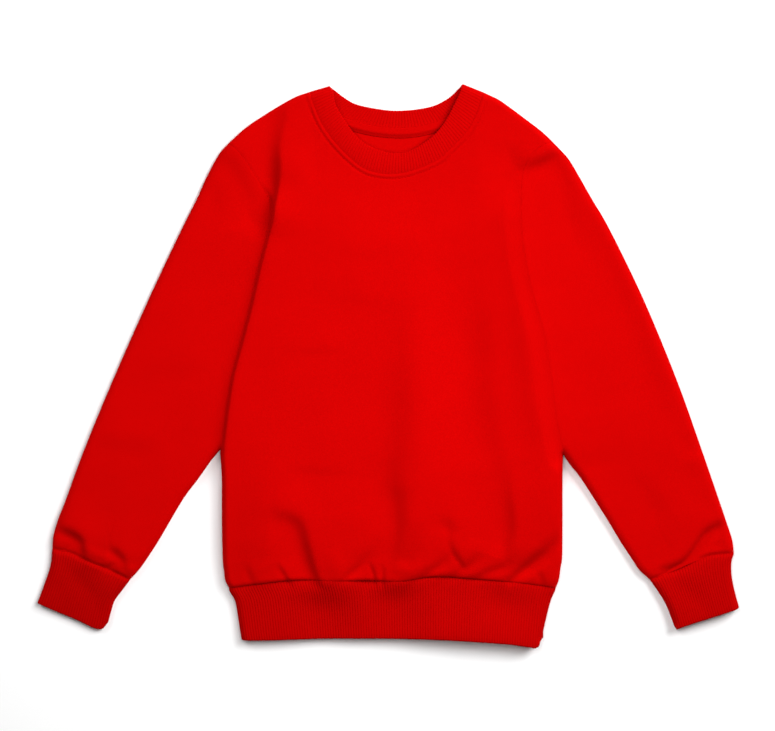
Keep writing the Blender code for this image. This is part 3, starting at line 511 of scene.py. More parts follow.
LEAST_SLOPE = 0.05      # a normal that points less than this outwards is set upright


def inward_offsets(points, ring, outward, square_rows, square_columns=()):
    """Unit outward normals, made level with the seam in rows and columns that are sewn."""
    across, along = grid_slopes(points, ring)
    normals = unit(np.cross(across, along)) * outward
    if not ring:
        normals[normals[..., 2] * outward < LEAST_SLOPE] = (0, 0, outward)

    def square(index, direction):
        level = unit(np.stack([-direction[..., 1], direction[..., 0], 0 * direction[..., 0]], axis=-1))
        part = normals[index]
        normals[index] = unit(part - np.sum(part * level, axis=-1)[..., None] * level)

    for row in square_rows:
        square((row, slice(None)), across[row])
    for column, rows in square_columns:
        square((rows, column), along[rows, column])
    return normals


# %% [markdown]
# The inner face is hardly seen, so it keeps fewer rows and columns than the outer one, and a strip of
# triangles closes the rim between the two. The UV map is in metres of cloth, so that a knit drawn on it
# keeps its real size and follows a sleeve round and along.

# %% Faces, UV map and sharp rims
def zipped(first, second):
    """Triangles between two rows of (number, place) that start and end together."""
    triangles, i, j = [], 0, 0
    while i < len(first) - 1 or j < len(second) - 1:
        ahead = j == len(second) - 1 or (i < len(first) - 1 and first[i + 1][1] <= second[j + 1][1])
        if ahead:
            triangles.append((first[i][0], first[i + 1][0], second[j][0]))
            i += 1
        else:
            triangles.append((first[i][0], second[j + 1][0], second[j][0]))
            j += 1
    return triangles


def quads_of(numbers):
    return np.stack([numbers[:-1, :-1], numbers[:-1, 1:], numbers[1:, 1:], numbers[1:, :-1]],
                    axis=-1).reshape(-1, 4).tolist()


def make_mesh(name, vertices, faces, uvs, real=None, sharp=()):
    """A mesh in metres. real maps a face's numbers to vertices where a ring's seam has its own UV."""
    real = np.arange(len(vertices)) if real is None else real
    mesh = bpy.data.meshes.new(name)
    mesh.from_pydata((vertices * MM).tolist(), [], [[int(real[n]) for n in face] for face in faces])
    uv_map = mesh.uv_layers.new(name="cloth")
    corners = np.concatenate([np.asarray(face) for face in faces])
    uv_map.data.foreach_set("uv", (uvs[corners] * MM).astype(np.float32).ravel())
    mesh.polygons.foreach_set("use_smooth", np.ones(len(faces), bool))
    if len(sharp):
        edges = np.empty(len(mesh.edges) * 2, int)
        mesh.edges.foreach_get("vertices", edges)
        on_rim = np.zeros(len(vertices), bool)
        on_rim[sharp] = True
        marks = mesh.attributes.new("sharp_edge", "BOOLEAN", "EDGE")
        marks.data.foreach_set("value", on_rim[edges.reshape(-1, 2)].all(axis=1))
    turned = bmesh.new()
    turned.from_mesh(mesh)
    bmesh.ops.recalc_face_normals(turned, faces=turned.faces)
    turned.to_mesh(mesh)
    turned.free()
    piece = bpy.data.objects.new(name, mesh)
    bpy.context.scene.collection.objects.link(piece)
    return piece


# %% [markdown]
# A wall may be a plain sheet, as the front is, or a tube, as a sleeve is. Round a tube the last column
# meets the first one, but in the UV map it has to lie a whole turn farther on.

# %% A closed wall of cloth
def every(count, step, ends):
    """Numbers 0 to count - 1, all of them within ends of either end and every step-th between."""
    middle = range(ends, count - ends, step)
    return np.array(sorted(set(range(ends)) | set(middle) | set(range(count - ends, count))))


def cloth_wall(name, points, normals, thickness, ring, keep_rows, keep_columns):
    """One closed wall of cloth from its outer face."""
    rows, columns = points.shape[:2]
    u_at = lengths_along(points[rows // 2])
    v_at = lengths_along(points[:, columns // 4])
    if ring:
        last = np.linalg.norm(points[rows // 2, -1] - points[rows // 2, 0])
        u_at = np.append(u_at, u_at[-1] + last)
    inner = points[keep_rows][:, keep_columns] - normals[keep_rows][:, keep_columns] * thickness
    keep_at = np.append(keep_columns, columns) if ring else keep_columns

    def numbered(grid, first, wide):
        """Face numbers of a grid, where a ring's last column stands for its first vertex."""
        numbers = first + np.arange(grid.shape[0] * wide).reshape(grid.shape[0], wide)
        vertex = np.arange(grid.shape[0] * grid.shape[1]).reshape(grid.shape[:2])
        if ring:
            vertex = np.concatenate([vertex, vertex[:, :1]], axis=1)
        return numbers, vertex

    wide_outer, wide_inner = len(u_at), len(keep_at)
    outer_numbers, outer_vertex = numbered(points, 0, wide_outer)
    inner_numbers, inner_vertex = numbered(inner, outer_numbers.size, wide_inner)
    real = np.concatenate([outer_vertex.ravel(), points.shape[0] * points.shape[1] + inner_vertex.ravel()])
    uvs = np.concatenate([
        np.stack(np.meshgrid(u_at, v_at), axis=-1).reshape(-1, 2),
        np.stack(np.meshgrid(u_at[keep_at], v_at[keep_rows]), axis=-1).reshape(-1, 2),
    ])
    faces = quads_of(outer_numbers) + quads_of(inner_numbers)
    column_at = np.arange(wide_outer)
    for row in (0, -1):
        faces += zipped(list(zip(outer_numbers[row], column_at)), list(zip(inner_numbers[row], keep_at)))
    rim = [outer_vertex[0], outer_vertex[-1]]
    if not ring:
        for column in (0, -1):
            faces += zipped(list(zip(outer_numbers[:, column], np.arange(rows))),
                            list(zip(inner_numbers[:, column], keep_rows)))
            rim.append(outer_vertex[:, column])
    vertices = np.concatenate([points.reshape(-1, 3), inner.reshape(-1, 3)])
    return make_mesh(name, vertices, faces, uvs, real, np.unique(np.concatenate(rim)))


def outer_area(points, ring=False):
    """Area of a grid of points in square metres."""
    if ring:
        points = np.concatenate([points, points[:, :1]], axis=1)
    first = np.cross(points[1:, 1:] - points[:-1, :-1], points[1:, :-1] - points[:-1, 1:])
    return float(np.linalg.norm(first, axis=-1).sum() / 2 * MM * MM)


def with_height(places, heights):
    """Places in plan with a third coordinate."""
    return np.concatenate([places, heights[..., None]], axis=-1)


def report(piece, area):
    size = np.array(piece.dimensions) / MM
    print(f"{piece.name}: {len(piece.data.polygons)} faces, {size[0]:.0f} x {size[1]:.0f} x {size[2]:.1f} mm,"
          f" outer face {area:.4f} m2")


# %% [markdown]
# ## Filling four edges
#
# A panel in plan has four edges: hem, two sides with armholes, and shoulders with the neck between.
# A Coons patch fills them with a grid. We add each side's bend to a straight blend and let it fade
# fast towards the middle, so that the grid doesn't fold over beside the neck.

# %% The plan of a panel
EDGE_SHARE = 0.034      # share of the body's width that its rolled edge takes
ARMHOLE_EDGE_SHARE = 0.027
UNDERARM = 0.30         # share of the panels' height at the underarm
SIDE_FADE = 6           # how fast the bend of a side fades inwards
EDGE_ROWS = 16          # rows across a rolled edge


def rolled_shares(width, count=EDGE_ROWS):
    """Shares across a rolled edge, close together where it is steep."""
    return width * (1 - np.cos(np.linspace(0, np.pi / 2, count)))


def plan_between(bottom, top, left, right, fade=1):
    """Fill four edges. Each gives its place at a share, left to right or bottom to top."""
    low, high = np.array(0.0), np.array(1.0)

    def bend(edge, v, start, end):
        return edge(v) - (1 - v[..., None]) * start - v[..., None] * end

    def plan(u, v):
        across, up = u[..., None], v[..., None]
        straight = (1 - up) * bottom(u) + up * top(u)
        return (straight + (1 - across) ** fade * bend(left, v, bottom(low), top(low))
                + across ** fade * bend(right, v, bottom(high), top(high)))
    return plan


def panel_grid(neck_line, corners, steps, side_rows, armhole_rows):
    """Places of a body panel's grid. corners are the columns' shares where the neck starts and ends."""
    low, high = corners
    edge = rolled_shares(EDGE_SHARE)
    us = sorted_shares(edge, np.linspace(EDGE_SHARE, low, steps[0]), np.linspace(low, high, steps[1]),
                       np.linspace(high, 1 - EDGE_SHARE, steps[0]), 1 - edge)
    armhole_edge = rolled_shares(ARMHOLE_EDGE_SHARE)
    armhole = sorted_shares(armhole_edge, 1 - armhole_edge,
                            np.linspace(ARMHOLE_EDGE_SHARE, 1 - ARMHOLE_EDGE_SHARE, armhole_rows))
    vs = sorted_shares(UNDERARM * side_rows, UNDERARM + (1 - UNDERARM) * armhole)

    def side(number, v):
        seam = at_share(SIDES[number], np.clip(v / UNDERARM, 0, 1))
        hole = at_share(ARMHOLES[number], np.clip((v - UNDERARM) / (1 - UNDERARM), 0, 1))
        return np.where((v < UNDERARM)[..., None], seam, hole)

    def top(u):
        left = at_share(SHOULDERS[0], np.clip(u / low, 0, 1))
        right = at_share(SHOULDERS[1], np.clip((1 - u) / (1 - high), 0, 1))
        neck = at_share(neck_line, np.clip((u - low) / (high - low), 0, 1))
        return np.where((u < low)[..., None], left, np.where((u > high)[..., None], right, neck))

    plan = plan_between(lambda u: at_share(HEM, u), top, lambda v: side(0, v), lambda v: side(1, v),
                        SIDE_FADE)
    u, v = np.meshgrid(us, vs)
    return us, vs, plan(u, v)


HEM_ROWS_END = 0.35     # the rows beside the hem, where the gathers are, lie closer together up to here


def hem_rows(near, far):
    """Shares of the side seam from the hem up."""
    return np.concatenate([np.linspace(0, HEM_ROWS_END, near, endpoint=False),
                           np.linspace(HEM_ROWS_END, 1, far)])


print("a rolled edge has rows at", rolled_shares(BODY_ROLL, 5).round(2), "mm, and so on")

# %% [markdown]
# ## The front
#
# The front is the piece that everyone looks at. Its height is a sum of simple rules: a gentle crown,
# a rolled edge along the sides and shoulders, a step where it stands over the sleeves, a small dip at
# each seam, and the folds. Round the neck the seam allowance lies under the front and is topstitched
# down, which leaves a low ridge and then a narrow groove about 4 mm outside the seam.

# %% The front panel
# heights by place, from the hem to the collar and from the cuffs to the shoulders
BODY_HEIGHTS = [(-205, 10.4), (-178, 12.2), (-140, 14.4), (-25, 15.4), (100, 15.0), (260, 14.0)]
SLEEVE_HEIGHTS = [(-200, CUFF_TOP), (-165, CUFF_TOP), (-100, 8.0), (80, 7.2), (140, 7.6), (200, 8.5)]
# how much the sleeve rises to the left and the right armhole seam, by place, and over what distance
SLEEVE_FEET = [
    ([(-90, 1.0), (-60, 1.5), (0, 1.5), (60, 1.3), (120, 1.3), (145, 0.8), (175, 0), (200, 0)], 6.0),
    ([(-90, 1.5), (-60, 4.4), (0, 6.2), (60, 6.2), (120, 5.0), (145, 3.2), (175, 0), (200, 0)], 45.0),
]
LOWEST_TOP = 4.7        # where the upper cloth rests on the lower one
# how wide the body's roll into the hem seam is, from left to right
HEM_ROLLS = [(-160, 4.5), (-60, 4.0), (0, 4.5), (60, 7.0), (160, 9.0)]
CROWN = 1.2             # how much higher the middle of the body is than its flanks
CROWN_REACH = 110.0     # how far from the flanks it's whole
NECK_REACH = 75.0       # how far from the neck seam and the shoulders the body reaches its height
SHOULDER_REACH = 60.0
SEAM_DIP = 1.0          # how far cloth dips into a seam, and over what distance
SEAM_DIP_WIDTH = 2.2
HEM_DIP = 0.25          # how far body and band dip into the hem seam
TOPSTITCH_AT = 4.2      # distance of the topstitching from the neck seam
TOPSTITCH_GROOVE = 0.5
TOPSTITCH_WIDTH = 0.9
ALLOWANCE_RISE = 0.4    # the seam allowance lifts the cloth between the seam and the groove
ALLOWANCE_AT = 0.45 * TOPSTITCH_AT
ALLOWANCE_WIDTH = 0.4 * TOPSTITCH_AT
SEWN_ARMHOLE_FROM = 170.0   # above this place the armhole's edges lie level with each other
SMALL_DIPS = (0.15, 0.5)    # the armhole seam's dip as shares of the usual depth and width
FRONT_CORNERS = (0.2533, 0.7467)
FRONT_COLUMNS = (58, 150)   # over each shoulder and between them
FRONT_SIDE_ROWS = hem_rows(52, 40)
FRONT_ARMHOLE_ROWS = 138


def sleeve_level(places):
    """The sleeves' height before their folds."""
    height = read_table(SLEEVE_HEIGHTS, places[..., 1]) + swell(places)
    for line, (table, reach) in zip(ARMHOLES, SLEEVE_FEET):
        foot = np.maximum(read_table(table, places[..., 1]), 0)
        height += foot * np.exp(-distance_to(places, line) / reach)
    return height


def armhole_dip(distance):
    depth, width = SMALL_DIPS
    return depth * SEAM_DIP * bump(distance, 0, width * SEAM_DIP_WIDTH)


def upper_folds(places):
    """The folds of the front run on over the sleeves and the other way round."""
    return fold_depth(places, FRONT_FOLDS + SLEEVE_FOLDS)


def edge_distance(places):
    return np.min([distance_to(places, line) for line in SIDES + SHOULDERS], axis=0)


def front_height(places):
    turned = ease((BODY_ROLL_STARTS - places[..., 1]) / (BODY_ROLL_STARTS - BODY_ROLL_WHOLE))
    risen, dip = 1.0, 0.0
    inwards = [distance_to(places, line) for line in ARMHOLES]
    for inward, (steep, soft, share) in zip(inwards, ARMHOLE_ROLLS):
        rolled = share * ease(inward / steep) + (1 - share) * ease(inward / soft)
        blended = ease(inward / SHOULDER_BLEND)
        risen = risen * (turned * rolled + (1 - turned) * blended)
        dip += (1 - turned) * armhole_dip(inward)
    neck = distance_to(places, smooth_line(FRONT_NECK))
    shoulder = np.min([distance_to(places, line) for line in SHOULDERS], axis=0)
    flank = np.min([distance_to(places, line) for line in SIDES + ARMHOLES], axis=0)
    crowned = read_table(BODY_HEIGHTS, places[..., 1]) + CROWN * ease(flank / CROWN_REACH)
    below = ease(neck / NECK_REACH) * ease(shoulder / SHOULDER_REACH)
    body = NECK_TOP + (crowned - NECK_TOP) * below + swell(places)
    start = sleeve_level(places)
    height = start + (body - start) * risen - dip
    hem = HEM_TOP - HEM_DIP + swell(places) - fold_depth(places, HEM_FOLDS)
    rolled = roll(distance_to(places, HEM), read_table(HEM_ROLLS, places[..., 0]))
    height = np.maximum(hem + (height - hem) * rolled - upper_folds(places), LOWEST_TOP)
    height += ALLOWANCE_RISE * bump(neck, ALLOWANCE_AT, ALLOWANCE_WIDTH)
    height -= TOPSTITCH_GROOVE * bump(neck, TOPSTITCH_AT, TOPSTITCH_WIDTH)
    return EDGE_LEVEL + (height - EDGE_LEVEL) * roll(edge_distance(places), BODY_ROLL)


us, vs, places = panel_grid(smooth_line(FRONT_NECK), FRONT_CORNERS, FRONT_COLUMNS, FRONT_SIDE_ROWS,
                            FRONT_ARMHOLE_ROWS)
front_points = with_height(places, front_height(places))
level_rows = np.flatnonzero(places[:, 0, 1] > SEWN_ARMHOLE_FROM)
front_normals = inward_offsets(front_points, False, 1, [0], [(0, level_rows), (-1, level_rows)])
front = cloth_wall("front_panel_cloth", front_points, front_normals, FLEECE, False,
                   every(len(vs), 3, EDGE_ROWS), every(len(us), 3, EDGE_ROWS))
report(front, outer_area(front_points))

# %% [markdown]
# ## The back
#
# The back lies on the surface. Its edges roll up to meet the front, and apart from a few shallow
# hollows it is flat. Its inner face shows through the neck opening.

# %% The back panel
BACK_CORNERS = (0.271, 0.729)
BACK_COLUMNS = (26, 80)
BACK_SIDE_ROWS = hem_rows(20, 24)
BACK_ARMHOLE_ROWS = 80

us, vs, places = panel_grid(smooth_line(BACK_NECK), BACK_CORNERS, BACK_COLUMNS, BACK_SIDE_ROWS,
                            BACK_ARMHOLE_ROWS)
under = fold_depth(places, UNDER_FOLDS) * ease(edge_distance(places) / BODY_ROLL)
back_height = under + BACK_EDGE_LEVEL * (1 - roll(edge_distance(places), BACK_ROLL))
back_points = with_height(places, back_height)
level_rows = np.flatnonzero(places[:, 0, 1] > SEWN_ARMHOLE_FROM)
back_normals = inward_offsets(back_points, False, -1, [0], [(0, level_rows), (-1, level_rows)])
back = cloth_wall("back_panel_cloth", back_points, back_normals, FLEECE, False,
                  every(len(vs), 2, EDGE_ROWS), every(len(us), 2, EDGE_ROWS))
report(back, outer_area(back_points))

# %% [markdown]
# ## Tubes: sleeves, cuffs, hem and collar
#
# A sleeve that lies flat is a tube with two layers that share one outline. We walk round it with even
# steps of real cloth, over the upper layer, round the fold and back under it. Even steps matter most
# for the ribs: a rib is as wide on the fold as on the flat.

# %% A flattened tube
SECTION_PLACES = 1500   # places on one layer of a tube's section that its length is measured by


def even_columns(ring_at, count):
    """Shares round a tube that are the same length of cloth apart, half way along it."""
    quarter = (1 - np.cos(np.linspace(0, np.pi, SECTION_PLACES))) / 2
    dense = np.concatenate([quarter / 2, 0.5 + quarter[1:] / 2])
    section = ring_at(dense[None, :], np.full((1, len(dense)), 0.5))[0]
    lengths = lengths_along(section)
    even = np.linspace(0, lengths[-1], count, endpoint=False)
    return np.interp(even, lengths, dense), lengths[-1]


def flat_tube(top_plan, low_plan, top_height, low_height, folds_at, edge_roll):
    """A rule that gives the places of a tube's outer face: u runs round it, v along it."""
    def at(u, v):
        share = 1 - np.abs(1 - 2 * u)
        above = u < 0.5
        top, low = top_plan(share, v), low_plan(share, v)
        top_edge = np.min([distance_to(top, line) for line in folds_at], axis=0)
        low_edge = np.min([distance_to(low, line) for line in folds_at], axis=0)
        top_z = EDGE_LEVEL + (top_height(top, v) - EDGE_LEVEL) * roll(top_edge, edge_roll)
        low_z = low_height(low, v) + (EDGE_LEVEL - low_height(low, v)) * (1 - roll(low_edge, BACK_ROLL))
        return with_height(np.where(above[..., None], top, low), np.where(above, top_z, low_z))
    return at


def on_line(line):
    return lambda share: at_share(line, share)


def from_point(table, start):
    """The smooth line of a table whose first point is moved to start."""
    return smooth_line([tuple(start)] + table[1:])


print("a tube's section is measured at", 2 * SECTION_PLACES - 1, "places")

# %% [markdown]
# ## The sleeves
#
# Each sleeve starts at the armhole, a hair outside the body's edge, and ends at the cuff. Beside the
# body it sinks a little, as the heavier body leans on it, and above the cuff it puffs over the seam.

# %% The sleeves
SLEEVE_COLUMNS = 164
SLEEVE_ROWS = 150
SLEEVE_ENDS = (0.04, 12)    # share of its length, and rows in it, where the rows lie close at a seam
PUFFS = (0.9, 0.3)      # how far each sleeve swells above its cuff
PUFF_AT, PUFF_WIDTH = 9, 5
CUFF_DIP = 1.6 * SEAM_DIP   # sleeve and cuff dip deeper into their seam than other cloth


def sleeve_rows():
    """Shares along a sleeve, closer together at both seams."""
    share, rows = SLEEVE_ENDS
    near = rolled_shares(share, rows)
    return sorted_shares(near, np.linspace(share, 1 - share, SLEEVE_ROWS), 1 - near)


def make_sleeve(name, number, outer_table, inner_table, cuff_table):
    away = 1 if number == 0 else -1
    armhole = shifted(ARMHOLES[number], SEAM_GAP * away)
    cuff = smooth_line(cuff_table)
    outer_line, inner_line = from_point(outer_table, armhole[-1]), from_point(inner_table, armhole[0])
    plan = plan_between(lambda s: at_share(armhole, 1 - s), on_line(cuff), on_line(outer_line),
                        on_line(inner_line))

    def top_height(at, v):
        to_cuff = distance_to(at, cuff)
        dip = armhole_dip(distance_to(at, armhole)) + CUFF_DIP * bump(to_cuff, 0, SEAM_DIP_WIDTH)
        puff = PUFFS[number] * bump(to_cuff, PUFF_AT, PUFF_WIDTH)
        return np.maximum(sleeve_level(at) - upper_folds(at) - dip + puff, LOWEST_TOP)

    tube = flat_tube(plan, plan, top_height, lambda at, v: fold_depth(at, UNDER_FOLDS),
                     [outer_line, inner_line], SLEEVE_ROLL)
    columns, _ = even_columns(tube, SLEEVE_COLUMNS)
    u, v = np.meshgrid(columns, sleeve_rows())
    points = tube(u, v)
    normals = inward_offsets(points, True, -away, [0, -1])
    piece = cloth_wall(name, points, normals, FLEECE, True, every(len(points), 3, 3),
                       np.arange(0, SLEEVE_COLUMNS, 2))
    report(piece, outer_area(points, True))
    return piece


left_sleeve = make_sleeve("left_sleeve_cloth", 0, LEFT_SLEEVE_OUTER, LEFT_SLEEVE_INNER, LEFT_CUFF_SEAM)
right_sleeve = make_sleeve("right_sleeve_cloth", 1, RIGHT_SLEEVE_OUTER, RIGHT_SLEEVE_INNER, RIGHT_CUFF_SEAM)

# %% [markdown]
# ## Doubled rib bands
#
# A rib band is a strip folded in half along its length, so its free edge is a soft round fold. We build
# it as one closed grid: out along the outer face, round the fold, and back along the inner face. Two
# numbers are kept at every vertex for the next step: which rib it is on, and how strongly the ribs
# stand there. They flatten where the seam presses them.

# %% A band before its ribs
LIP = RIB / 2           # how far the round fold stands past the band's last row
LIP_ANGLES = np.radians([25, 55, 90, 125, 155])
BAND_START = (0.12, 5)  # share of the band, and rows in it, where the rows lie close beside the seam
SEAM_FLATTENS = 2.5     # distance from the seam over which the ribs rise to their height
SEAM_STRENGTH = 0.15    # what is left of them before they rise


def make_band(name, tube, outward, length, pitch, per_rib, rows, inner_ribs):
    """A doubled band. pitch is the width of a rib, per_rib its columns and inner_ribs how strong its
    inside ribs are."""
    last = 1 - LIP / length
    _, around = even_columns(tube, 8)
    ribs = round(around / pitch)
    columns, _ = even_columns(tube, ribs * per_rib)
    vs = sorted_shares(rolled_shares(*BAND_START), np.linspace(BAND_START[0], 1, rows)) * last
    u, v = np.meshgrid(columns, vs)
    outer = tube(u, v)
    normals = inward_offsets(outer, True, outward, [0])
    inner = outer - normals * RIB
    middle = (outer[-1] + inner[-1]) / 2
    ahead = unit((outer[-1] - outer[-2]) * [1, 1, 0])
    half = outer[-1] - middle
    lip = np.array([middle + np.cos(angle) * half + np.sin(angle) * LIP * ahead for angle in LIP_ANGLES])
    points = np.concatenate([outer, lip, inner[::-1]])
    strength = ease(SEAM_STRENGTH + vs * length / SEAM_FLATTENS)
    weights = np.concatenate([strength, np.ones(len(lip)), strength[::-1] * inner_ribs])
    weights = np.minimum(weights, 1)[:, None] * np.ones(points.shape[1])
    closed = np.concatenate([points, points[:1]])
    number = np.arange(points.shape[0] * points.shape[1]).reshape(points.shape[:2])
    number = np.concatenate([number, number[:, :1]], axis=1)
    number = np.concatenate([number, number[:1]])
    drawn = np.arange(number.size).reshape(number.shape)
    u_at = np.append(columns, 1.0) * around
    v_at = lengths_along(closed[:, 0])
    uvs = np.stack(np.meshgrid(u_at, v_at), axis=-1).reshape(-1, 2)
    piece = make_mesh(name, points.reshape(-1, 3), quads_of(drawn), uvs, number.ravel())
    phase = np.arange(ribs * per_rib) / per_rib * np.ones((len(points), 1))
    for label, values in (("rib_phase", phase), ("rib_weight", weights)):
        kept = piece.data.attributes.new(label, "FLOAT", "POINT")
        kept.data.foreach_set("value", values.astype(np.float32).ravel())
    print(f"{name}: {ribs} ribs round {around:.0f} mm")
    return piece, outer_area(outer, True)


print("a band is", 2 * LIP, "mm thick at its fold")

# %% [markdown]
# ## Geometry Nodes for what repeats
#
# Ribs and stitches repeat, so node trees make them. A few helpers keep the trees short: a node with
# its links in one call, the two last nodes that every tree needs, and a run that leaves a plain mesh.

# %% Helpers for node trees
def new_tree(name, inputs):
    """An empty Geometry Nodes tree with named inputs. Returns it with its ends."""
    tree = bpy.data.node_groups.new(name, "GeometryNodeTree")
    tree.interface.new_socket("Geometry", in_out="INPUT", socket_type="NodeSocketGeometry")
    for label, kind in inputs:
        tree.interface.new_socket(label, in_out="INPUT", socket_type=kind)
    tree.interface.new_socket("Geometry", in_out="OUTPUT", socket_type="NodeSocketGeometry")
    return tree, tree.nodes.new("NodeGroupInput"), tree.nodes.new("NodeGroupOutput")


def add_node(tree, kind, links=(), **settings):
    """A node with its settings and links: (input name or number, value or another node's output)."""
    node = tree.nodes.new(kind)
    for label, value in settings.items():
        setattr(node, label, value)
    for place, value in links:
        if isinstance(value, bpy.types.NodeSocket):
            tree.links.new(value, node.inputs[place])
        else:
            node.inputs[place].default_value = value
    return node


def math_node(tree, operation, first, second=0.0, third=0.0):
    links = [(0, first), (1, second), (2, third)]
    return add_node(tree, "ShaderNodeMath", links, operation=operation).outputs[0]


def end_tree(tree, geometry, group_in, group_out):
    """Real geometry with its material, as the last two nodes of every tree here."""
    real = add_node(tree, "GeometryNodeRealizeInstances", [("Geometry", geometry)])
    done = add_node(tree, "GeometryNodeSetMaterial",
                    [("Geometry", real.outputs["Geometry"]), ("Material", group_in.outputs["Material"])])
    tree.links.new(done.outputs["Geometry"], group_out.inputs["Geometry"])


def run_tree(piece, tree, values):
    """Run a tree on a piece and keep the result as its plain mesh."""
    modifier = piece.modifiers.new(tree.name, "NODES")
    modifier.node_group = tree
    for socket in tree.interface.items_tree:
        if socket.in_out == "INPUT" and socket.name in values:
            modifier[socket.identifier] = values[socket.name]
    graph = bpy.context.evaluated_depsgraph_get()
    made = bpy.data.meshes.new_from_object(piece.evaluated_get(graph), preserve_all_data_layers=True,
                                           depsgraph=graph)
    made.name = piece.name
    piece.modifiers.remove(modifier)
    piece.data = made
    return piece


print("node groups so far:", len(bpy.data.node_groups))

# %% [markdown]
# ## Raising the ribs
#
# The tree reads the rib number of a vertex, takes the fraction within the rib, and turns it into half
# a circle: a round crest with a narrow groove on both sides. Then it moves the vertex along its normal.
# The crest is stored too, and the rib's colour reads it to paint shade into the grooves.

# %% The rib tree
RIB_LEVEL = 0.6         # share of a rib's height that lies below the cloth's face


def rib_tree():
    tree, group_in, group_out = new_tree("raised ribs", [("Rib height", "NodeSocketFloat"),
                                                         ("Material", "NodeSocketMaterial")])
    phase = add_node(tree, "GeometryNodeInputNamedAttribute", [("Name", "rib_phase")], data_type="FLOAT")
    weight = add_node(tree, "GeometryNodeInputNamedAttribute", [("Name", "rib_weight")], data_type="FLOAT")
    within = math_node(tree, "FRACT", phase.outputs["Attribute"])
    side = math_node(tree, "MULTIPLY_ADD", within, 2.0, -1.0)
    crest = math_node(tree, "SQRT", math_node(tree, "SUBTRACT", 1.0, math_node(tree, "POWER", side, 2.0)))
    level = math_node(tree, "SUBTRACT", crest, RIB_LEVEL)
    height = math_node(tree, "MULTIPLY", level, group_in.outputs["Rib height"])
    height = math_node(tree, "MULTIPLY", height, weight.outputs["Attribute"])
    normal = add_node(tree, "GeometryNodeInputNormal")
    offset = add_node(tree, "ShaderNodeVectorMath", [(0, normal.outputs["Normal"]), ("Scale", height)],
                      operation="SCALE")
    moved = add_node(tree, "GeometryNodeSetPosition", [("Geometry", group_in.outputs["Geometry"]),
                                                       ("Offset", offset.outputs["Vector"])])
    stored = add_node(tree, "GeometryNodeStoreNamedAttribute",
                      [("Geometry", moved.outputs["Geometry"]), ("Name", "rib_crest"), ("Value", crest)],
                      data_type="FLOAT", domain="POINT")
    end_tree(tree, stored.outputs["Geometry"], group_in, group_out)
    return tree


RIB_TREE = rib_tree()
print("rib tree:", len(RIB_TREE.nodes), "nodes")

# %% [markdown]
# ## Stitches along a path
#
# A row of stitches follows a path. The tree turns the path into a curve, puts a point on it at every
# stitch, and sets a small rounded thread there, turned along the curve.

# %% The stitch tree
def stitch_tree():
    tree, group_in, group_out = new_tree("stitches", [
        ("Stitch pitch", "NodeSocketFloat"), ("Stitch length", "NodeSocketFloat"),
        ("Thread width", "NodeSocketFloat"), ("Material", "NodeSocketMaterial")])
    path = add_node(tree, "GeometryNodeMeshToCurve", [("Mesh", group_in.outputs["Geometry"])])
    points = add_node(tree, "GeometryNodeResampleCurve",
                      [("Curve", path.outputs["Curve"]), ("Length", group_in.outputs["Stitch pitch"])],
                      mode="LENGTH")
    thread = add_node(tree, "GeometryNodeMeshUVSphere", [("Segments", 6), ("Rings", 4), ("Radius", 0.5)])
    size = add_node(tree, "ShaderNodeCombineXYZ", [
        ("X", group_in.outputs["Thread width"]), ("Y", group_in.outputs["Thread width"]),
        ("Z", group_in.outputs["Stitch length"])])
    along = add_node(tree, "GeometryNodeInputTangent")
    turn = add_node(tree, "FunctionNodeAlignRotationToVector", [("Vector", along.outputs["Tangent"])],
                    axis="Z")
    placed = add_node(tree, "GeometryNodeInstanceOnPoints", [
        ("Points", points.outputs["Curve"]), ("Instance", thread.outputs["Mesh"]),
        ("Rotation", turn.outputs["Rotation"]), ("Scale", size.outputs["Vector"])])
    smooth = add_node(tree, "GeometryNodeSetShadeSmooth", [("Geometry", placed.outputs["Instances"])])
    end_tree(tree, smooth.outputs["Geometry"], group_in, group_out)
    return tree


STITCH_TREE = stitch_tree()
print("stitch tree:", len(STITCH_TREE.nodes), "nodes")


def stitch_row(name, lines, pitch, length, width, material):
    """A piece with rows of stitches along lines of points, in millimetres."""
    mesh = bpy.data.meshes.new(name)
    vertices, edges = [], []
    for line in lines:
        first = len(vertices)
        vertices += (np.asarray(line) * MM).tolist()
        edges += [(n, n + 1) for n in range(first, len(vertices) - 1)]
    mesh.from_pydata(vertices, edges, [])
    piece = bpy.data.objects.new(name, mesh)
    bpy.context.scene.collection.objects.link(piece)
    run_tree(piece, STITCH_TREE, {"Stitch pitch": pitch * MM, "Stitch length": length * MM,
                                  "Thread width": width * MM, "Material": material})
    print(f"{name}: {len(piece.data.polygons)} faces")
    return piece


# %% [markdown]
# ## The cloths' colour and feel
#
# Both cloths are one red. The fleece shows its knit side: columns of small V-shaped loops, with soft
# fibres over them. The rib is the same yarn, but its grooves hold shadow, so its red is painted darker as
# shade.
# Cloth scatters light and hardly shines, so roughness is high, the gloss is low, and a little sheen
# catches the fibres at grazing angles.

# %% Reds and a matt cloth
FLEECE_RED = (0.509, 0.0003, 0.0003)
# a deeper red: painted shade in the knit's low parts, and darker dye
FLEECE_SHADE_AND_DYE_RED = (0.453, 0.0002, 0.0002)
# the rib's and the collar's reds are the fleece's yarn painted darker: a painted shade for their grooves
RIB_SHADED_RED = (0.414, 0.0003, 0.0003)
# deeper reds: painted shade in the grooves between the ribs, and darker dye
RIB_SHADE_AND_DYE_RED = (0.307, 0.0002, 0.0002)
COLLAR_SHADED_RED = (0.489, 0.0003, 0.0003)
COLLAR_SHADE_AND_DYE_RED = (0.368, 0.0002, 0.0002)
SHEEN_RED = (1.0, 0.012, 0.008, 1.0)
SHEEN_ROUGHNESS = 0.6
GLOSS = 0.01


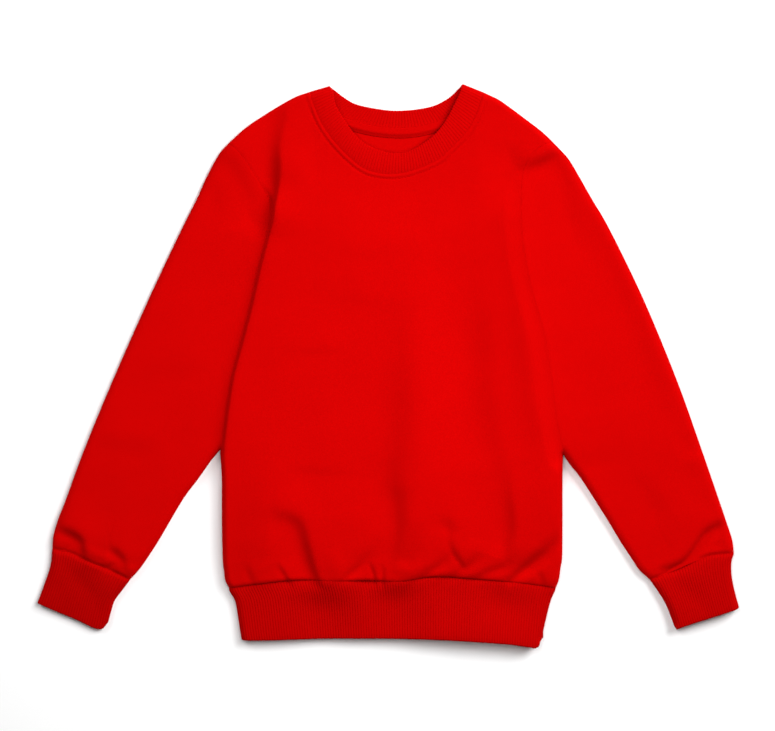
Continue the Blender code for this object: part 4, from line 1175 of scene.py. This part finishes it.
def new_cloth(name, roughness, sheen):
    """A cloth material. The shader's even values are set on it directly."""
    material = bpy.data.materials.new(name)
    material.use_nodes = True
    tree = material.node_tree
    shader = tree.nodes["Principled BSDF"]
    shader.inputs["Metallic"].default_value = 0.0
    shader.inputs["Roughness"].default_value = roughness
    shader.inputs["Specular IOR Level"].default_value = GLOSS
    shader.inputs["Sheen Weight"].default_value = sheen
    shader.inputs["Sheen Roughness"].default_value = SHEEN_ROUGHNESS
    shader.inputs["Sheen Tint"].default_value = SHEEN_RED
    return material, tree, shader


print("fleece", FLEECE_RED, "and rib", RIB_SHADED_RED)

# %% [markdown]
# The patterns are made from maths and noise, so they need no pictures. Dye never takes quite evenly,
# so slow, middle and fine noise are added up. The finest one also stands for the loose fibres.

# %% Uneven dye and small relief
MOTTLE = [(14.0, 2.0, 0.3), (120.0, 3.0, 0.35), (1100.0, 2.0, 0.35)]    # scale, detail, share


def noise_of(tree, place, scale, detail=2.0):
    links = [("Vector", place), ("Scale", scale), ("Detail", detail)]
    return add_node(tree, "ShaderNodeTexNoise", links).outputs["Fac"]


def colour_between(tree, share, first, second):
    mix = add_node(tree, "ShaderNodeMix", [(0, share)], data_type="RGBA")
    mix.inputs[6].default_value = (*first, 1)
    mix.inputs[7].default_value = (*second, 1)
    return mix.outputs[2]


def bumped(tree, shader, layers):
    """Stack bumps, each with its pattern, its height in metres and its strength."""
    normal = None
    for height, distance, strength in layers:
        links = [("Height", height), ("Distance", distance), ("Strength", strength)]
        if normal is not None:
            links.append(("Normal", normal))
        normal = add_node(tree, "ShaderNodeBump", links).outputs["Normal"]
    tree.links.new(normal, shader.inputs["Normal"])


def mottle(tree, place):
    """Unevenness of the dye, about 0.5 in the middle, and its finest noise alone."""
    total = 0.0
    for scale, detail, share in MOTTLE:
        noise = noise_of(tree, place, scale, detail)
        total = math_node(tree, "MULTIPLY_ADD", noise, share, total)
    return total, noise


print("noise at scales", [scale for scale, _, _ in MOTTLE])

# %% [markdown]
# A plain knit is columns of loops, and each loop shows as a V. The columns stand proud in their middle,
# and a wave that slants up on both sides of each column draws the Vs. It reads the UV map, so the loops
# run down the body and along the sleeves as knitted cloth does.

# %% The fleece's knit
WALE = 1.15 * MM        # width of a column of loops
COURSE = 0.85 * MM      # height of a row of loops
SLANT = 1.4             # how steeply the two sides of a V run
WALE_SHARE = 0.56       # share of the relief that the columns make. The loops make the rest
LOOP_SHARE = (1 - WALE_SHARE) / 2
# how much of the red's change is painted shade in the knit's low parts, and how much is uneven dye
FLEECE_SHARES_OF_SHADE_AND_DYE = (0.35, 0.75)     # how much the knit and the dye lighten the red
FLEECE_RELIEF = [(0.12 * MM, 0.5), (0.25 * MM, 0.35)]   # height and strength of the loops, then the fibres


def knit_height(tree, uv):
    """Height of the knit's face: V-shaped loops in columns, 0 to 1."""
    parts = add_node(tree, "ShaderNodeSeparateXYZ", [("Vector", uv)])
    column = math_node(tree, "FRACT", math_node(tree, "DIVIDE", parts.outputs["X"], WALE))
    side = math_node(tree, "ABSOLUTE", math_node(tree, "SUBTRACT", column, 0.5))
    row = math_node(tree, "DIVIDE", parts.outputs["Y"], COURSE)
    slanted = math_node(tree, "ADD", row, math_node(tree, "MULTIPLY", side, SLANT))
    wave = math_node(tree, "SINE", math_node(tree, "MULTIPLY", slanted, 2 * np.pi))
    squared = math_node(tree, "POWER", math_node(tree, "MULTIPLY", side, 2.0), 2.0)
    wale = math_node(tree, "SUBTRACT", 1.0, squared)
    loop = math_node(tree, "MULTIPLY_ADD", wave, LOOP_SHARE, LOOP_SHARE)
    return math_node(tree, "MULTIPLY_ADD", wale, WALE_SHARE, loop)


def fleece_cloth():
    material, tree, shader = new_cloth("red fleece", roughness=0.9, sheen=0.08)
    where = add_node(tree, "ShaderNodeTexCoord")
    dye, fibres = mottle(tree, where.outputs["Object"])
    knit = knit_height(tree, add_node(tree, "ShaderNodeUVMap", uv_map="cloth").outputs["UV"])
    shade_from_knit, from_dye = FLEECE_SHARES_OF_SHADE_AND_DYE
    # the knit's low parts take the deeper red as painted shade, and the uneven dye adds its own tone
    depth = math_node(tree, "MULTIPLY_ADD", knit, shade_from_knit, math_node(tree, "MULTIPLY", dye, from_dye))
    tree.links.new(colour_between(tree, depth, FLEECE_SHADE_AND_DYE_RED, FLEECE_RED), shader.inputs["Base Color"])
    bumped(tree, shader, [(knit, *FLEECE_RELIEF[0]), (fibres, *FLEECE_RELIEF[1])])
    return material


FLEECE_CLOTH = fleece_cloth()
for piece in (front, back, left_sleeve, right_sleeve):
    piece.data.materials.append(FLEECE_CLOTH)
print("the fleece has", round(1 / WALE / 100), "columns of loops to a centimetre")

# %% [markdown]
# The rib's colour follows the stored crest: a lighter red on the ribs and a painted shade deep in the
# grooves, and a fine relief crosses each rib where its loops lie. The collar is stretched less, so its
# grooves are less deep; it gets less painted shade and a lighter red. The thread is the same red, twisted.

# %% The ribs and the thread
# the crest's share is painted shade in the grooves, the dye's share is uneven dye
RIB_SHARES_OF_SHADE_AND_DYE = (0.7, 0.5)  # how much the crest and the dye lighten the red
RIB_RELIEF = [(0.06 * MM, 0.4), (0.2 * MM, 0.3)]
THREAD_TWIST = 2500.0
THREAD_RELIEF = (0.1 * MM, 0.4)


def rib_cloth(name, shade_and_dye_red, light):
    material, tree, shader = new_cloth(name, roughness=0.88, sheen=0.05)
    where = add_node(tree, "ShaderNodeTexCoord")
    dye, fibres = mottle(tree, where.outputs["Object"])
    crest = add_node(tree, "ShaderNodeAttribute", attribute_name="rib_crest").outputs["Fac"]
    parts = add_node(tree, "ShaderNodeSeparateXYZ",
                     [("Vector", add_node(tree, "ShaderNodeUVMap", uv_map="cloth").outputs["UV"])])
    rows = math_node(tree, "SINE", math_node(tree, "MULTIPLY", parts.outputs["Y"], 2 * np.pi / COURSE))
    shade_from_crest, from_dye = RIB_SHARES_OF_SHADE_AND_DYE
    # low crests, in the grooves, take the deeper red as painted shade
    depth = math_node(tree, "MULTIPLY_ADD", crest, shade_from_crest, math_node(tree, "MULTIPLY", dye, from_dye))
    tree.links.new(colour_between(tree, depth, shade_and_dye_red, light), shader.inputs["Base Color"])
    bumped(tree, shader, [(rows, *RIB_RELIEF[0]), (fibres, *RIB_RELIEF[1])])
    return material


def thread_material():
    material, tree, shader = new_cloth("red thread", roughness=0.6, sheen=0.0)
    where = add_node(tree, "ShaderNodeTexCoord")
    twist = noise_of(tree, where.outputs["Object"], THREAD_TWIST)
    tree.links.new(colour_between(tree, twist, FLEECE_SHADE_AND_DYE_RED, FLEECE_RED), shader.inputs["Base Color"])
    bumped(tree, shader, [(twist, *THREAD_RELIEF)])
    return material


# two copies of one rib, both painted darker than the fleece as painted shade, the collar less so
RIB_CLOTH = rib_cloth("red rib", RIB_SHADE_AND_DYE_RED, RIB_SHADED_RED)
COLLAR_CLOTH = rib_cloth("light red rib", COLLAR_SHADE_AND_DYE_RED, COLLAR_SHADED_RED)
THREAD = thread_material()
print("materials:", FLEECE_CLOTH.name, RIB_CLOTH.name, COLLAR_CLOTH.name, THREAD.name)

# %% [markdown]
# ## The hem
#
# The hem band is one ring of rib, shorter than the body's edge that it gathers. It dips a little just
# under the deepest gathers, and on the right its free edge stands off the surface and throws a shadow.

# %% The hem band
HEM_LENGTH = 50.0       # from the seam to the fold
HEM_PITCH = 2.35        # width of a rib
RIB_HEIGHT = 0.45
RIB_COLUMNS = 6         # columns of the grid across a rib
BAND_ROWS = 18
INNER_RIBS = 0.3        # how strong the ribs are on the inside, which is pressed flat
CLEARANCE = 0.3         # room under a band for its ribs
# how far the free edge stands off the surface, from left to right, and how late along the band it does
HEM_LIFTS = [(-150, 0.5), (-60, 0.3), (0, 2), (50, 6), (95, 7), (130, 4.5), (160, 3)]
HEM_LIFT_POWER = 1.5
BAND_DIP_WIDTH = 0.6 * SEAM_DIP_WIDTH
FOLDS_REACH = 7.0       # how far a neighbour's folds reach into a band


def band_height(at, seam, level, dip, folds=(), neighbour_folds=()):
    """The band's face: it meets its neighbour at one height, dips into the seam and has its own folds."""
    distance = distance_to(at, seam)
    depth = fold_depth(at, folds) + fold_depth(at, neighbour_folds) * bump(distance, 0, FOLDS_REACH)
    return level - depth + swell(at) - dip * bump(distance, 0, BAND_DIP_WIDTH)


def underside(at, v):
    return CLEARANCE + 0 * v


def make_hem():
    seam = shifted(HEM, -SEAM_GAP)
    left, right = from_point(HEM_LEFT, seam[0]), from_point(HEM_RIGHT, seam[-1])
    plan = plan_between(on_line(seam), on_line(smooth_line(HEM_END)), on_line(left), on_line(right))

    def lift(at, v):
        return read_table(HEM_LIFTS, at[..., 0]) * ease(v) ** HEM_LIFT_POWER

    def top_height(at, v):
        return lift(at, v) + band_height(at, seam, HEM_TOP, HEM_DIP, HEM_FOLDS, FRONT_FOLDS)

    tube = flat_tube(plan, plan, top_height, lambda at, v: lift(at, v) + underside(at, v),
                     [left, right], RIB_ROLL)
    return make_band("hem_band_rib", tube, -1, HEM_LENGTH, HEM_PITCH, RIB_COLUMNS, BAND_ROWS, INNER_RIBS)


hem, hem_area = make_hem()
run_tree(hem, RIB_TREE, {"Rib height": RIB_HEIGHT * MM, "Material": RIB_CLOTH})
report(hem, hem_area)

# %% [markdown]
# ## The cuffs
#
# A cuff is the same ring on a smaller scale. As it lies, one cuff sinks towards its free end, and the
# other one stands a little open.

# %% The cuffs
CUFF_LENGTH = 48.0
CUFF_PITCH = 2.2
CUFF_DROPS = (3.4, -3.2)    # how much lower each cuff's free end lies, or higher where negative


def make_cuff(name, number, seam_table, outer_table, inner_table, end_table):
    away = 1 if number == 0 else -1
    seam = shifted(smooth_line(seam_table), -SEAM_GAP * away)
    outer_line, inner_line = from_point(outer_table, seam[0]), from_point(inner_table, seam[-1])
    plan = plan_between(on_line(seam), on_line(smooth_line(end_table)), on_line(outer_line),
                        on_line(inner_line))

    def top_height(at, v):
        level = CUFF_TOP - CUFF_DROPS[number] * v
        return band_height(at, seam, level, CUFF_DIP, CUFF_FOLDS, SLEEVE_FOLDS)

    tube = flat_tube(plan, plan, top_height, underside, [outer_line, inner_line], RIB_ROLL)
    piece, area = make_band(name, tube, -away, CUFF_LENGTH, CUFF_PITCH, RIB_COLUMNS, BAND_ROWS, INNER_RIBS)
    run_tree(piece, RIB_TREE, {"Rib height": RIB_HEIGHT * MM, "Material": RIB_CLOTH})
    report(piece, area)
    return piece


left_cuff = make_cuff("left_cuff_rib", 0, LEFT_CUFF_SEAM, LEFT_CUFF_OUTER, LEFT_CUFF_INNER, LEFT_CUFF_END)
right_cuff = make_cuff("right_cuff_rib", 1, RIGHT_CUFF_SEAM, RIGHT_CUFF_OUTER, RIGHT_CUFF_INNER,
                       RIGHT_CUFF_END)

# %% [markdown]
# ## The collar
#
# The collar is a ring too, but its two layers differ: the front one hangs low and the back one sits
# high, so each has its own plan, and they meet at the two tips beside the neck. The inside of the back
# layer shows through the neck opening, so it carries ribs as well.

# %% The neckband
COLLAR_LENGTH = 19.0
COLLAR_PITCH = 2.6
COLLAR_RIB_HEIGHT = 0.34
COLLAR_COLUMNS = 8      # columns of the grid across a rib
COLLAR_ROWS = 10
COLLAR_INNER_RIBS = 1.0
NECK_DIP = 0.2
COLLAR_DOME = 0.7       # how far the front of the collar swells between its seam and its fold


def make_collar():
    front_seam, back_seam = (shifted(smooth_line(table), SEAM_GAP) for table in (FRONT_NECK, BACK_NECK))
    for end in (0, -1):
        front_seam[end] = back_seam[end] = (front_seam[end] + back_seam[end]) / 2
    tips = FRONT_COLLAR_EDGE[0], FRONT_COLLAR_EDGE[-1]
    folds_at = [np.array([front_seam[0], tips[0]]), np.array([front_seam[-1], tips[1]])]

    def across(seam, edge):
        return lambda s, v: (1 - v[..., None]) * at_share(seam, s) + v[..., None] * at_share(edge, s)

    def top_height(at, v):
        return band_height(at, front_seam, NECK_TOP + COLLAR_DOME * np.sin(np.pi * v), NECK_DIP)

    tube = flat_tube(across(front_seam, smooth_line(FRONT_COLLAR_EDGE)),
                     across(back_seam, smooth_line(BACK_COLLAR_EDGE)), top_height, underside, folds_at,
                     RIB_ROLL)
    return make_band("neckband_rib", tube, 1, COLLAR_LENGTH, COLLAR_PITCH, COLLAR_COLUMNS, COLLAR_ROWS,
                     COLLAR_INNER_RIBS)


collar, collar_area = make_collar()
run_tree(collar, RIB_TREE, {"Rib height": COLLAR_RIB_HEIGHT * MM, "Material": COLLAR_CLOTH})
report(collar, collar_area)

# %% [markdown]
# ## The neck tape
#
# Inside the back of the neck a smooth tape covers the seam. Its upper half stands over the seam's
# allowance and its lower half is pressed thin, so a soft shade runs along its lower edge.

# %% The tape inside the neck
TAPE_WIDTH = 9.0
TAPE_SHARES = (0.2, 0.8)    # where the tape starts and ends along the back neck
TAPE_LIFT = 0.05            # how far its lower edge stands off the back
TAPE_THINS = 0.88           # share of its thickness that the pressed lower edge loses
TAPE_THINS_FROM = 0.55      # share of its width where it starts to thin
TAPE_ENDS = 0.12            # share of the neck over which the lift dies down at both ends
TAPE_ROWS, TAPE_COLUMNS = 13, 90

tape_line = shifted(smooth_line(BACK_NECK), -2 * SEAM_GAP)
shares = np.linspace(*TAPE_SHARES, TAPE_COLUMNS)
upper = at_share(tape_line, shares)
lower = at_share(shifted(tape_line, -TAPE_WIDTH), shares)
down = np.linspace(0, 1, TAPE_ROWS)[:, None]
places = (1 - down[..., None]) * upper + down[..., None] * lower
ends = ease(np.minimum(shares - TAPE_SHARES[0], TAPE_SHARES[1] - shares) / TAPE_ENDS)
thin = 1 - TAPE_THINS * ease((down - TAPE_THINS_FROM) / (1 - TAPE_THINS_FROM))
height = FLEECE + SEAM_GAP + TAPE * thin + TAPE_LIFT * ends * down ** 1.5
tape_points = with_height(places, height)
tape_normals = inward_offsets(tape_points, False, -1, []) * thin[..., None]
tape = cloth_wall("neck_tape_cloth", tape_points, tape_normals, TAPE, False, np.arange(TAPE_ROWS),
                  every(TAPE_COLUMNS, 2, 2))
tape.data.materials.append(FLEECE_CLOTH)
report(tape, outer_area(tape_points))

# %% [markdown]
# ## Topstitching
#
# One row of stitches holds the seam allowance down round the front of the neck, at the bottom of the
# groove. Two rows hold the tape.

# %% The stitches
STITCH_PITCH = 2.8
STITCH_LENGTH = 2.2
THREAD_WIDTH = 0.45
TOPSTITCH_SHARES = (0.03, 0.97)     # where the topstitching starts and ends round the front,
TOPSTITCH_PLACES = 120              # and how many places its path has
THREAD_LIFT = (0.12, 0.08)          # how far the thread's middle stands off the front and the tape
TAPE_STITCH_ROWS = (1, 8)           # rows of the tape's grid that are sewn


def on_grid(points, line):
    """A line of places lifted to the height of the nearest point of a grid."""
    flat = points.reshape(-1, 3)
    nearest = [int(np.argmin(np.sum((flat[:, :2] - place) ** 2, axis=1))) for place in line]
    return np.column_stack([line, flat[nearest, 2]])


groove = shifted(smooth_line(FRONT_NECK, 6), -TOPSTITCH_AT)
groove = at_share(groove, np.linspace(*TOPSTITCH_SHARES, TOPSTITCH_PLACES))
neck_stitches = stitch_row("neck_topstitching", [on_grid(front_points, groove) + [0, 0, THREAD_LIFT[0]]],
                           STITCH_PITCH, STITCH_LENGTH, THREAD_WIDTH, THREAD)
tape_rows = [tape_points[row, 3:-3] + [0, 0, THREAD_LIFT[1]] for row in TAPE_STITCH_ROWS]
tape_stitches = stitch_row("tape_stitches", tape_rows, STITCH_PITCH, STITCH_LENGTH, THREAD_WIDTH, THREAD)

# %% [markdown]
# ## Joining the pieces to the solids
#
# Every piece says which solid it stands for, which body it moves with and which finish it has. The
# sheets also say how large their cloth was cut.

# %% Bodies, solids, finishes and cut sizes
PIECES = [
    # piece, solid, finish, flat width and length, flat area, what it lies on
    (front, "front_panel", "fleece", (0.33, 0.46), 0.118, ["back_panel_cloth"]),
    (back, "back_panel", "fleece", (0.33, 0.46), 0.117, ["floor"]),
    (left_sleeve, "left_sleeve", "fleece", (0.36, 0.44), 0.072, ["floor"]),
    (right_sleeve, "right_sleeve", "fleece", (0.36, 0.44), 0.076, ["floor"]),
    (tape, "neck_tape", "fleece", (0.12, 0.01), 0.00108, ["back_panel_cloth"]),
    (hem, "hem_band", "rib", (0.57, 0.05), None, ["floor"]),
    (left_cuff, "left_cuff", "rib", (0.15, 0.048), None, ["floor"]),
    (right_cuff, "right_cuff", "rib", (0.15, 0.048), None, ["floor"]),
    (collar, "neckband", "rib", (0.40, 0.019), None, ["floor"]),
]
for piece, solid, finish, flat, area, under in PIECES:
    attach(piece, "root")
    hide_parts(solid)
for stitches in (neck_stitches, tape_stitches):
    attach(stitches, "root")
    stitches.data.polygons.foreach_set("use_smooth", np.ones(len(stitches.data.polygons), bool))

# %% [markdown]
# ## The floor
#
# The sweatshirt lies on a plain white floor, large enough to fill low views as well. The floor is a
# stage and no part of the garment. The sheets name it as what they rest on.

# %% Floor and sheets
FLOOR_HALF = 6.0        # half its side, in metres
FLOOR_LEVEL = -0.0003   # as low as the ribs' lowest crests reach
FLOOR_WHITE = 0.985

floor_mesh = bpy.data.meshes.new("floor")
corners = [(-1, -1), (1, -1), (1, 1), (-1, 1)]
floor_mesh.from_pydata([(x * FLOOR_HALF, y * FLOOR_HALF, FLOOR_LEVEL) for x, y in corners], [],
                       [(0, 1, 2, 3)])
floor = bpy.data.objects.new("floor", floor_mesh)
bpy.context.scene.collection.objects.link(floor)
floor_material = bpy.data.materials.new("white floor")
floor_material.use_nodes = True
floor_shader = floor_material.node_tree.nodes["Principled BSDF"]
floor_shader.inputs["Base Color"].default_value = (FLOOR_WHITE, FLOOR_WHITE, FLOOR_WHITE, 1)
floor_shader.inputs["Roughness"].default_value = 0.9
floor_shader.inputs["Specular IOR Level"].default_value = 0.0
floor.data.materials.append(floor_material)
for piece, solid, finish, flat, area, under in PIECES:
    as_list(under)
print("floor:", 2 * FLOOR_HALF, "m wide, sheets:", len(PIECES))

# %% [markdown]
# ## Light
#
# Two soft lights stand beyond the shoulders. The right one is stronger, so that the folds turn softly
# from light to shade. A small one over the middle lets the light fall off towards the cuffs, and a faint
# even sky fills the shadows. The standard view keeps the red as pure as it is.

# %% Lights
RIGHT_PLACE, RIGHT_SIZE, RIGHT_POWER = (1.7, 1.4, 1.6), 1.6, 92.0
LEFT_PLACE, LEFT_SIZE, LEFT_POWER = (-1.8, 2.3, 2.0), 1.8, 50.5
OVERHEAD_PLACE, OVERHEAD_SIZE, OVERHEAD_POWER = (0.02, 0.0, 0.6), 0.36, 1.95
SKY_STRENGTH = 0.122


def area_light(name, place, size, power):
    light = bpy.data.lights.new(name, "AREA")
    light.shape = "SQUARE"
    light.size = size
    light.energy = power
    lamp = bpy.data.objects.new(name, light)
    lamp.location = place
    lamp.visible_camera = False
    lamp.rotation_euler = (-Vector(place)).to_track_quat("-Z", "Y").to_euler()
    bpy.context.scene.collection.objects.link(lamp)
    return lamp


area_light("right softbox", RIGHT_PLACE, RIGHT_SIZE, RIGHT_POWER)
area_light("left softbox", LEFT_PLACE, LEFT_SIZE, LEFT_POWER)
area_light("overhead softbox", OVERHEAD_PLACE, OVERHEAD_SIZE, OVERHEAD_POWER)
world = bpy.data.worlds.new("studio")
world.use_nodes = True
world.node_tree.nodes["Background"].inputs["Color"].default_value = (1, 1, 1, 1)
world.node_tree.nodes["Background"].inputs["Strength"].default_value = SKY_STRENGTH
bpy.context.scene.world = world
bpy.context.scene.view_settings.view_transform = "Standard"

# %% [markdown]
# ## Camera
#
# The camera looks straight down from a height at which the nearer, upper cloth hardly looks larger.
# Its lens follows from its height and from how wide the picture is at the garment's rolled edges.

# %% Camera
CAMERA_HEIGHT = 1.65    # above the rolled edges, whose outline the picture is framed on
PICTURE_WIDTH = 0.6975
SENSOR = 36.0

camera_data = bpy.data.cameras.new("camera")
camera_data.sensor_width = SENSOR
camera_data.lens = SENSOR * CAMERA_HEIGHT / PICTURE_WIDTH
camera = bpy.data.objects.new("camera", camera_data)
camera.location = (-0.00045, 0.0, CAMERA_HEIGHT + EDGE_LEVEL * MM)
bpy.context.scene.collection.objects.link(camera)
bpy.context.scene.camera = camera
print("lens:", round(camera_data.lens, 1), "mm")
